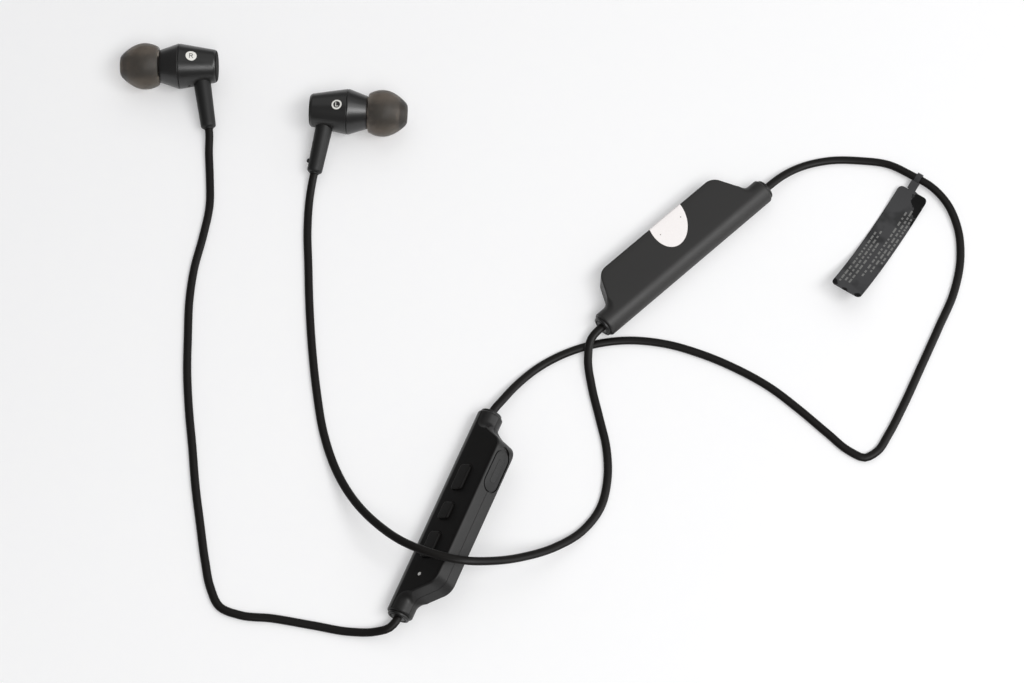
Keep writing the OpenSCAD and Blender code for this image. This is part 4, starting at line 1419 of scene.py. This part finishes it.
@dataclass
class ControlPod(Pod):
    """The pod with the buttons, the indicator and the charging port."""

    face_finish: int = 1
    button_pitch: float = 9.4
    button_mid: float = -0.8
    button_y: float = 3.5
    button_long: float = 7.0
    button_short: float = 4.6
    button_wide: float = 3.4
    button_corner: float = 0.8
    button_rise: float = 0.5
    button_gap: float = 0.15
    flange_out: Flat = (1.0, 0.5)
    stem: float = 1.8
    port_back: float = 5.0
    cover_len: float = 11.3
    cover_wide: float = 4.8
    cover_t: float = 0.4
    cover_gap: float = 0.3
    bar_wide: float = 1.6
    plug: Block = (6.8, 2.1, 0.6)
    throat: Block = (8.0, 3.0, 0.6)
    notch: Block = (4.0, 3.4, 1.699)
    notch_back: float = 1.05
    led: Flat = (-18.2, 4.2)
    led_wide: float = 1.0
    mic: Flat = (-14.4, 6.4)
    mic_wide: float = 0.9
    through_front: tuple[Flat, Flat] = ((0, 1.6), (0, 4.5))  # levels of a cut through the front face
    through_rear: tuple[Flat, Flat] = ((0, -4.5), (0, -1.5))  # levels of a cut through the rear face

    @property
    def edge_place(self) -> Matrix:
        """The frame of the straight edge at the port, with z out of it."""
        port_x = self.edge_half - self.port_back
        return Matrix.Translation((port_x, self.edge, 0)) @ Matrix.Rotation(math.radians(-90), 4, "X")

    def button_len(self, number: int) -> float:
        """Length of a button; the middle one, number 0, is shorter."""
        return self.button_short if number == 0 else self.button_long

    def button_spot(self, number: int) -> Matrix:
        """Where a button stands on the face."""
        return shifted(self.button_mid + number * self.button_pitch, self.button_y)

    def front_cuts(self) -> Shape:
        """Gives the openings of the buttons, the indicator and the port."""
        cuts, gap = Shape(), 2 * self.button_gap
        for number in (-1, 0, 1):
            well = pad(
                self.button_len(number) + gap, self.button_wide + gap, self.button_corner + self.button_gap,
                self.through_front,
            )
            cuts.joined(well.moved(self.button_spot(number)))
        bore = pad(self.led_wide, self.led_wide, self.led_wide / 2, self.through_front)
        return cuts.joined(bore.moved(shifted(*self.led))).joined(self.port_cut()).moved(self.place)

    def rear_cuts(self) -> Shape:
        """Gives the rear shell's share of the port and the microphone hole."""
        hole = pad(self.mic_wide, self.mic_wide, self.mic_wide / 2 - 0.001, self.through_rear)
        return self.port_cut().joined(hole.moved(shifted(*self.mic))).moved(self.place)

    def port_cut(self) -> Shape:
        """Gives the recess of the cover with its finger notch, and the way in for the plug."""
        long, wide = self.cover_len + self.cover_gap, self.cover_wide + self.cover_gap
        recess = pad(long, wide, 2.549, [(0, -0.55), (0, 1.0)])
        notch = pad(*self.notch, [(0, -0.7), (0, 1.0)])
        recess.joined(notch.moved(shifted(self.cover_len / 2 - self.notch_back)))
        throat = pad(*self.throat, [(0, -2.2), (0, -0.5)])
        return recess.joined(throat).moved(self.edge_place)

    def button_shape(self, number: int) -> Shape:
        """Gives one button: a pad with a soft brim over its flange and stem.

        Args:
            number: 1 for the upper button, 0 for the middle one and -1 for the lower one.

        Returns:
            The button.
        """
        length, face = self.button_len(number), self.spine_r + self.button_rise
        brim = [(0, 2.19), (0, face - 0.25), (0.02, face - 0.14), (0.08, face - 0.05), (0.18, face)]
        levels = [(inset, z - 0.005) for inset, z in (*brim, (0.3, face + 0.005))]
        button = pad(length, self.button_wide, self.button_corner, levels)
        along, across = self.flange_out
        flange = pad(length + along, self.button_wide + across, self.button_corner, [(0, 1.7), (0, 2.195)])
        stem = pad(self.stem, self.stem, self.stem / 2 - 0.001, [(0, 0.55), (0, 1.75)])
        whole = button.joined(flange).joined(stem.moved(shifted(0, -1.0)))
        return whole.moved(self.place @ self.button_spot(number))

    def cover_shape(self) -> Shape:
        """Gives the port cover: a thin lid with a raised bar and the plug behind it."""
        t = self.cover_t
        lid_levels = [(0, -t), (0, -0.12), (0.03, -0.04), (0.12, 0)]
        lid = pad(self.cover_len - self.cover_gap, self.cover_wide - self.cover_gap, 2.249, lid_levels)
        bar_levels = [(0, -0.05), (0, 0.04), (0.05, 0.08)]
        bar = pad(self.cover_len - self.cover_wide, self.bar_wide, self.bar_wide / 2 - 0.01, bar_levels)
        plug = pad(*self.plug, [(0.1, -t - 0.5), (0, -t - 0.35), (0, -t + 0.01)])
        return lid.joined(bar).joined(plug).moved(self.place @ self.edge_place)

    def build(self) -> None:
        """Builds and dresses the pod's pieces."""
        plastic = (Body.SET, Slot.HOUSING_PLASTIC)
        add_piece(
            "control_front_skin", self.shell_shape(Half.FRONT), [CONTROL_ABS, CONTROL_FACE], *plastic,
            ["control_front_shell"], self.front_cuts(), crease=SHELL_CREASE,
        )
        add_piece(
            "control_rear_skin", self.shell_shape(Half.REAR), [CONTROL_ABS], *plastic, ["control_rear_shell"],
            self.rear_cuts(), crease=SHELL_CREASE,
        )
        self.grommets()
        for number, body in ((1, Body.VOLUME_UP), (0, Body.PLAY), (-1, Body.VOLUME_DOWN)):
            add_piece(
                f"{body.value}_pad", self.button_shape(number), [BUTTON_TPE], body, Slot.RUBBER,
                [f"{body.value}_button"],
            )
        add_piece("port_cover_lid", self.cover_shape(), [COVER_TPE], Body.COVER, Slot.RUBBER, ["port_cover"])
        for node, finish in (
            ("charging_socket", PRESSED_STEEL), ("control_board", BOARD), ("button_switches", SWITCH_BRASS),
            ("radio_chip", CHIP_EPOXY), ("indicator_lens", LIGHT_PIPE), ("microphone", PRESSED_STEEL),
        ):
            dress(node, finish)


@dataclass
class BatteryPod(Pod):
    """The pod with the cell, and the paper seal over its edge."""

    seal_at: Flat = (2.74, 9.42)
    seal_long_half: float = 7.56
    seal_short_half: float = 5.02
    seal_turn: float = 60.7
    seal_t: float = 0.1
    seal_fold: float = 2.4
    dots: tuple[Flat, ...] = ((-1.24, 7.64), (5.97, 7.81))
    dot_r: float = 0.17
    dot_levels: Flat = (0.09, 0.115)

    def seal_edge(self, steps: int) -> list[tuple[Vector, float]]:
        """Gives points on the part of the turned oval below the fold.

        Args:
            steps: Steps between the points.

        Returns:
            Each point, with the place on the fold that it faces.
        """
        fold_y, turned = self.edge - self.rim, math.radians(self.seal_turn)
        c, s = math.cos(turned), math.sin(turned)
        crest = math.atan2(self.seal_short_half * c, self.seal_long_half * s)
        reach = math.hypot(self.seal_long_half * s, self.seal_short_half * c)
        start = math.acos((fold_y - self.seal_at[1]) / reach)
        outline = []
        for i in range(steps + 1):
            a = crest + start + (2 * math.pi - 2 * start) * i / steps
            u, v = self.seal_long_half * math.cos(a), self.seal_short_half * math.sin(a)
            outline.append(Vector((self.seal_at[0] + u * c - v * s, self.seal_at[1] + u * s + v * c)))
        left, right = outline[0].x, outline[-1].x
        return [(p, left + (right - left) * i / steps) for i, p in enumerate(outline)]

    def seal_shape(self) -> Shape:
        """Gives the oval seal on the face, its fold down the straight edge and its two dots."""
        fold_y, low, high = self.edge - self.rim, self.spine_r, self.spine_r + self.seal_t
        quarter = [math.radians(90 * k / 6) for k in range(7)]
        rows: list[list[Vector]] = []
        for point, fold_x in self.seal_edge(48):
            flat = [point.lerp(Vector((fold_x, fold_y)), k / 6) for k in range(6)]
            layers = []
            for level, r in ((high, self.rim + self.seal_t), (low, self.rim)):
                line = [Vector((p.x, p.y, level)) for p in flat]
                bend = ((fold_y + r * math.sin(b), level - r + r * math.cos(b)) for b in quarter)
                line += [Vector((fold_x, y, z)) for y, z in bend]
                line.append(Vector((fold_x, fold_y + r, low - self.rim - self.seal_fold)))
                layers.append(line)
            rows.append(layers[0] + layers[1][::-1])
        shape = Shape().loft(rows)
        turns = (2 * math.pi * k / 16 for k in range(16))
        circle = [(self.dot_r * math.cos(a), self.dot_r * math.sin(a)) for a in turns]
        levels = [self.spine_r + level for level in self.dot_levels]
        for x, y in self.dots:
            shape.loft([[Vector((x + u, y + v, z)) for u, v in circle] for z in levels], finish=1)
        return shape.moved(self.place)

    def build(self) -> None:
        """Builds and dresses the pod's pieces."""
        for half, label in ((Half.FRONT, "front"), (Half.REAR, "rear")):
            add_piece(
                f"battery_{label}_skin", self.shell_shape(half), [BATTERY_ABS], Body.SET,
                Slot.BATTERY_PLASTIC, [f"battery_{label}_shell"], crease=SHELL_CREASE,
            )
        self.grommets()
        add_piece(
            "edge_seal_paper", self.seal_shape(), [SEAL_PAPER, SEAL_INK], Body.SET, Slot.PAPER, ["edge_seal"]
        )
        dress("battery_cell", CELL_FOIL)
        dress("protection_board", BOARD)


# ---- Cords and tag ----

CORD_CREASE = 60.0  # degrees above which an edge of a cord stays sharp


@dataclass
class Cord:
    """One flat cord: an oval tube that lies on its wide side and follows a smooth route."""

    name: str
    start: Vector
    start_heading: Vector
    route: Sequence[Place]
    end: Vector
    end_heading: Vector
    wide: float = 2.1
    thick: float = 1.4
    step: float = 1.1
    sides: int = 20

    def path(self) -> list[Vector]:
        """Gives evenly smooth points along the route, its ends included."""
        knots = [self.start, *(Vector(p) for p in self.route), self.end]
        slopes = []
        for back_knot, knot, next_knot in zip(knots, knots[1:], knots[2:]):
            back, ahead = knot - back_knot, next_knot - knot
            pull = (back / back.length**2 + ahead / ahead.length**2) / (1 / back.length + 1 / ahead.length)
            slopes.append(pull)
        slopes = [self.start_heading, *slopes, self.end_heading]
        out = [knots[0]]
        for (here, there), (m0, m1) in zip(zip(knots, knots[1:]), zip(slopes, slopes[1:])):
            span = (there - here).length
            pieces = max(2, round(span / self.step))
            for k in range(1, pieces + 1):
                t = k / pieces
                h00, h10 = 2 * t**3 - 3 * t**2 + 1, t**3 - 2 * t**2 + t
                h01, h11 = -2 * t**3 + 3 * t**2, t**3 - t**2
                out.append(here * h00 + m0 * span * h10 + there * h01 + m1 * span * h11)
        return out

    def ring(self, at: Vector, ahead: Vector) -> list[Vector]:
        """Gives one oval ring round the path, its wide side level.

        Args:
            at: The ring's middle.
            ahead: A vector along the path.

        Returns:
            The points of the ring.
        """
        side = Vector((0, 0, 1)).cross(ahead).normalized()
        up = ahead.cross(side).normalized()
        turns = [2 * math.pi * k / self.sides for k in range(self.sides)]
        return [
            at + side * self.wide / 2 * math.cos(a) + up * self.thick / 2 * math.sin(a) for a in turns
        ]

    def chart(self, mesh: bpy.types.Mesh, lengths: Sequence[float]) -> None:
        """Maps the tube in millimetres along and round it.

        Args:
            mesh: The tube's mesh.
            lengths: Length along the path at each ring.
        """
        layer = mesh.uv_layers.new(name="along")
        around = math.pi * (self.wide + self.thick) / 2 / self.sides
        for polygon in mesh.polygons:
            columns = [mesh.loops[i].vertex_index % self.sides for i in polygon.loop_indices]
            wraps = max(columns) - min(columns) > self.sides // 2
            for i, column in zip(polygon.loop_indices, columns):
                turn = column + (self.sides if wraps and column < self.sides // 2 else 0)
                layer.data[i].uv = (lengths[mesh.loops[i].vertex_index // self.sides], turn * around)

    def build(self) -> tuple[bpy.types.Object, list[Vector], float]:
        """Builds the tube.

        Returns:
            The object, the points that it follows and its length.
        """
        path = self.path()
        rings, lengths = [], [0.0]
        for i, at in enumerate(path):
            rings.append(self.ring(at, path[min(i + 1, len(path) - 1)] - path[max(i - 1, 0)]))
            if i:
                lengths.append(lengths[-1] + (at - path[i - 1]).length)
        piece = add_piece(
            f"{self.name}_jacket", Shape().loft(rings), [CORD_TPE], Body.SET, Slot.JACKET, [self.name],
            crease=CORD_CREASE,
        )
        self.chart(piece.data, lengths)
        log.info("%s: %.1f mm long", self.name, lengths[-1])
        return piece, path, lengths[-1]


RIGHT_ROUTE = (
    (-60, 49, 1.2), (-59.5, 42, 0.8), (-59.2, 34, 0.8), (-60.5, 25, 0.8), (-62.3, 16, 0.8), (-63.1, 7, 0.8),
    (-63, -3, 0.8), (-62.7, -13, 0.8), (-61.8, -23, 0.8), (-60.5, -33, 0.8), (-59.3, -43, 0.8),
    (-57.7, -53, 0.8), (-56, -63, 0.8), (-54.5, -69.5, 0.8), (-52, -74.5, 0.8), (-47, -76.6, 0.8),
    (-39.5, -77.4, 0.8), (-29.5, -79.2, 0.8), (-20.5, -80.9, 1.1), (-14.4, -81.2, 2.1), (-11.1, -80.5, 3),
)
NECK_ROUTE = (
    (15.9, -21, 2.9), (19.5, -16.4, 1.8), (25, -11.3, 0.9), (31.5, -7.6, 0.8), (38.5, -5.2, 0.8),
    (46.5, -4.1, 0.8), (56, -5, 0.8), (65.5, -8, 0.8), (74, -12, 0.8), (82, -17, 0.8), (89, -23, 0.8),
    (95.5, -29.2, 0.8), (101, -34.2, 0.8), (104.5, -35.8, 0.8), (107.5, -34.2, 0.8), (110.5, -29.8, 0.8),
    (114.5, -22.3, 0.8), (119.5, -11.8, 0.8), (124.8, -0.5, 0.8), (129.3, 9.5, 0.8), (131.55, 19.5, 0.8),
    (131.3, 27.5, 1), (129, 34.2, 1.4), (125.6, 38.6, 1.6), (120.2, 42.35, 1.6), (114.8, 45.6, 1.1),
    (107.5, 46.9, 0.8), (99.5, 46.9, 0.8), (93, 45.2, 1.1), (88, 42.2, 2.2),
)
LEFT_ROUTE = (
    (-33.7, 36, 1), (-34, 27, 0.8), (-33.5, 17, 0.8), (-32.9, 6, 0.8), (-31.9, -6, 0.8), (-30.4, -18, 0.8),
    (-28.3, -29.5, 0.9), (-25, -39.5, 2), (-20.5, -48.2, 4.6), (-14.3, -56.3, 8.6), (-7.5, -62.4, 12.2),
    (-0.5, -65.8, 13.7), (6.5, -67.4, 13.5), (13.5, -66.6, 11), (21, -64, 7), (28.5, -60.2, 3.5),
    (35, -55.3, 1.4), (39.5, -49, 0.8), (41.3, -41.5, 0.8), (41.2, -33.5, 0.8), (39.5, -25, 0.8),
    (37.7, -16.5, 1), (36.9, -9.5, 1.9), (37.8, -4.5, 2.9),
)


@dataclass(frozen=True)
class PrintRow:
    """A row of dashes on the tag: its place across the strip, and where it begins and ends along it."""

    across: float
    begin: float
    finish: float


@dataclass
class Tag:
    """The film tag: a curled strip with round corners, joined by a neck to a loop round the cord."""

    at: Place = (122.0, 41.1, 1.6)
    heading: float = 237.0
    loop_r: float = 1.25
    loop_len: float = 1.4
    film_t: float = 0.3
    over_table: float = 0.1
    start: float = 3.9
    length: float = 35.9
    wide: float = 8.2
    set_over: float = 0.98
    neck_wide: float = 2.3
    corner: float = 1.2
    curl_r: float = 51.0
    low_x: float = 15.8
    columns: int = 8
    dash_half: float = 0.24
    dash_len: Flat = (0.5, 1.7)
    dash_space: Flat = (0.3, 0.9)
    dash_t: float = 0.012
    dash_lift: float = 0.002
    dash_seed: int = 7
    rows: tuple[PrintRow, ...] = (
        PrintRow(-1.7, 18.5, 38.0), PrintRow(-0.6, 17.5, 37.0), PrintRow(0.5, 21.0, 36.0),
        PrintRow(2.1, 9.5, 33.0), PrintRow(3.2, 8.5, 30.0), PrintRow(4.2, 10.5, 26.0),
    )
    worn: tuple[Spot, ...] = (  # where the ink is thick
        (5.4, 3.4, 2.2), (8.3, 4.8, 1.5), (11.2, 5.2, 1.1),
        (39.0, -3.0, 1.3), (39.8, 0.8, 0.8), (39.3, 4.4, 0.9),
    )

    @property
    def place(self) -> Matrix:
        """The tag's frame in the row frame, with x along it from the cord."""
        return Matrix.Translation(self.at) @ turn_z(self.heading)

    def half_width(self, x: float) -> float:
        """Gives half the width of the strip.

        Args:
            x: Place along the strip.

        Returns:
            The distance from its middle line to its edge.
        """
        if x < self.start:
            return self.neck_wide / 2
        near, c = min(x - self.start, self.start + self.length - x), self.corner
        if near < c:
            return self.wide / 2 - c + math.sqrt(max(0.0, c * c - (c - near) ** 2))
        return self.wide / 2

    def on_film(self, x: float, y: float, lift: float = 0.0) -> Vector:
        """Gives a point on the film's upper skin, or over it."""
        rise = self.curl_r - math.sqrt(self.curl_r**2 - (x - self.low_x) ** 2)
        return Vector((x, y, self.over_table - self.at[2] + rise + self.film_t + lift))

    def places_along(self) -> list[float]:
        """Gives the places of the strip's cross-sections, close together at its round corners."""
        end = self.start + self.length
        quarter = [math.radians(90 * i / 8) for i in range(9)]
        straight = self.length - 2 * self.corner
        xs = [1.45, 2.2, 3.0, self.start - 0.3, self.start - 0.02]
        xs += [self.start + self.corner * (1 - math.cos(a)) for a in quarter]
        xs += [self.start + self.corner + straight * i / 40 for i in range(1, 41)]
        xs += [end - self.corner * (1 - math.sin(a)) for a in quarter[1:]]
        return xs

    def shape(self) -> Shape:
        """Gives the strip, the loop and the print."""
        rings = []
        for x in self.places_along():
            half = self.half_width(x)
            middle = self.set_over if x >= self.start - 0.1 else 0.0
            steps = [2 * half * k / self.columns for k in range(self.columns + 1)]
            over = [self.on_film(x, middle - half + step) for step in steps]
            rings.append(over + [p - Vector((0, 0, self.film_t)) for p in reversed(over)])
        outer, reach = self.loop_r + self.film_t, self.loop_len / 2
        loop = [(self.loop_r, -reach), (outer, -reach), (outer, reach), (self.loop_r, reach)]
        shape = Shape().loft(rings).joined(Shape().turn(loop, 48).moved(turn_z(90)))
        self.add_print(shape)
        return shape.moved(self.place)

    def add_print(self, shape: Shape) -> None:
        """Adds rows of plain dashes where small print would stand; they spell nothing.

        Args:
            shape: The strip that carries them.
        """
        chance = random.Random(self.dash_seed)
        for row in self.rows:
            x = row.begin
            while x < row.finish:
                run = chance.uniform(*self.dash_len)
                rings = []
                for at in (x + run * step / 2 for step in range(3)):
                    edges = (row.across - self.dash_half, row.across + self.dash_half)
                    ends = [self.on_film(at, y, self.dash_lift) for y in edges]
                    rings.append(ends + [p + Vector((0, 0, self.dash_t)) for p in reversed(ends)])
                shape.loft(rings, finish=1)
                x += run + chance.uniform(*self.dash_space)

    def build(self) -> bpy.types.Object:
        """Builds the tag."""
        worn = tuple((tuple(self.place @ self.on_film(x, y)), radius) for x, y, radius in self.worn)
        # The film's grey colour is painted sheen; the ink spots are print.
        finishes = [replace(TAG_FILM_PAINTED_SHEEN, worn=worn), TAG_INK]
        return add_piece("cord_tag_film", self.shape(), finishes, Body.TAG, Slot.FILM, ["cord_tag"])


# ---- Stage ----


@dataclass(frozen=True)
class SoftLight:
    """A rectangle of light that faces the middle of the table; its place and size are in metres."""

    name: str
    at: Place
    size: Flat
    radiance: float
    shadow: bool = True

    def build(self) -> None:
        """Adds the light."""
        data = bpy.data.lights.new(self.name, "AREA")
        data.shape, data.use_shadow = "RECTANGLE", self.shadow
        data.size, data.size_y = self.size
        data.energy = self.radiance * math.pi * self.size[0] * self.size[1]
        light = bpy.data.objects.new(self.name, data)
        bpy.context.scene.collection.objects.link(light)
        light.location = self.at
        light.rotation_euler = (-Vector(self.at)).to_track_quat("-Z", "Y").to_euler()


@dataclass
class Studio:
    """The camera, the table and the light: a key over the right, two fills without shadows, one overhead."""

    camera_at: Place = (18.0, -310.4, 657.1)
    look_at: Place = (18.0, -4.0, 0.0)
    sensor: float = 36.0
    lens: float = 101.953125  # focal length over that sensor
    table: float = 6000.0
    table_t: float = 20.0
    sky: str = "#fdfdfe"
    sky_strength: float = 0.25
    lights: tuple[SoftLight, ...] = (
        SoftLight("overhead", (0.15, 0.75, 1.3), (1.7, 1.7), 0.4),
        SoftLight("key", (0.55, -0.62, 1.24), (1.4, 0.5), 5.2),
        SoftLight("key_fill", (0.95, -0.05, 1.18), (1.2, 1.2), 1.7, shadow=False),
        SoftLight("side_fill", (1.6, -0.1, 0.3), (1.0, 1.0), 2.8, shadow=False),
    )

    def make_camera(self) -> None:
        """Makes the camera."""
        data = bpy.data.cameras.new("camera")
        data.lens, data.sensor_width = self.lens, self.sensor
        data.clip_start, data.clip_end = 0.01, 20
        camera = bpy.data.objects.new("camera", data)
        bpy.context.scene.collection.objects.link(camera)
        camera.location = Vector(self.camera_at) * MM
        aim = Vector(self.look_at) - Vector(self.camera_at)
        camera.rotation_euler = aim.to_track_quat("-Z", "Y").to_euler()
        bpy.context.scene.camera = camera

    def make_table(self) -> None:
        """Makes the plain pale table."""
        s = self.table / 2
        square = [(-s, -s), (s, -s), (s, s), (-s, s)]
        top = Shape().loft([[Vector((x, y, z)) for x, y in square] for z in (-self.table_t, 0.0)])
        table = bpy.data.objects.new("table", top.mesh("table"))
        table.data.materials.append(finish_of(TABLE_BOARD))
        bpy.context.scene.collection.objects.link(table)

    def make_light(self) -> None:
        """Makes the soft studio light."""
        world = bpy.data.worlds.new("studio")
        world.use_nodes = True
        tree = world.node_tree
        tree.nodes.clear()
        glow = add_node(
            tree, "ShaderNodeBackground", {"Color": linear(self.sky), "Strength": self.sky_strength}
        )
        add_node(tree, "ShaderNodeOutputWorld", {"Surface": glow.outputs["Background"]})
        bpy.context.scene.world = world
        for light in self.lights:
            light.build()
        bpy.context.scene.view_settings.view_transform = "Standard"


def main() -> None:
    """Builds the scene, the camera and cords first."""
    logging.basicConfig(level=logging.INFO, format="%(name)s: %(message)s")
    studio = Studio()
    studio.make_camera()
    right = Earbud(Side.RIGHT, (-68.1, 71.9, 6), 0, 9.3)
    left = Earbud(Side.LEFT, (-24.2, 58.4, 6), -3, 8.5)
    lean = Matrix.Rotation(math.radians(-40), 4, "X") @ Matrix.Scale(-1, 4, Vector((0, 1, 0)))
    control = ControlPod("control", Matrix.Translation((1.9, -51.6, 3.2)) @ turn_z(67.3) @ lean)
    battery = BatteryPod("battery", Matrix.Translation((61.5, 17.9, 3.2)) @ turn_z(42.7))
    tag = Tag().build()
    cords = (
        Cord("cord_right", right.boot_exit(), right.boot_heading(), RIGHT_ROUTE,
             control.end_point(End.LOWER), control.axis()),
        Cord("cord_neck", control.end_point(End.UPPER), control.axis(), NECK_ROUTE,
             battery.end_point(End.UPPER), -battery.axis()),
        Cord("cord_left", left.boot_exit(), left.boot_heading(), LEFT_ROUTE,
             battery.end_point(End.LOWER), battery.axis()),
    )
    for cord in cords:
        piece, path, length = cord.build()
    for part in (right, left, control, battery):
        part.build()
    studio.make_table()
    studio.make_light()


if __name__ == "__main__":
    main()
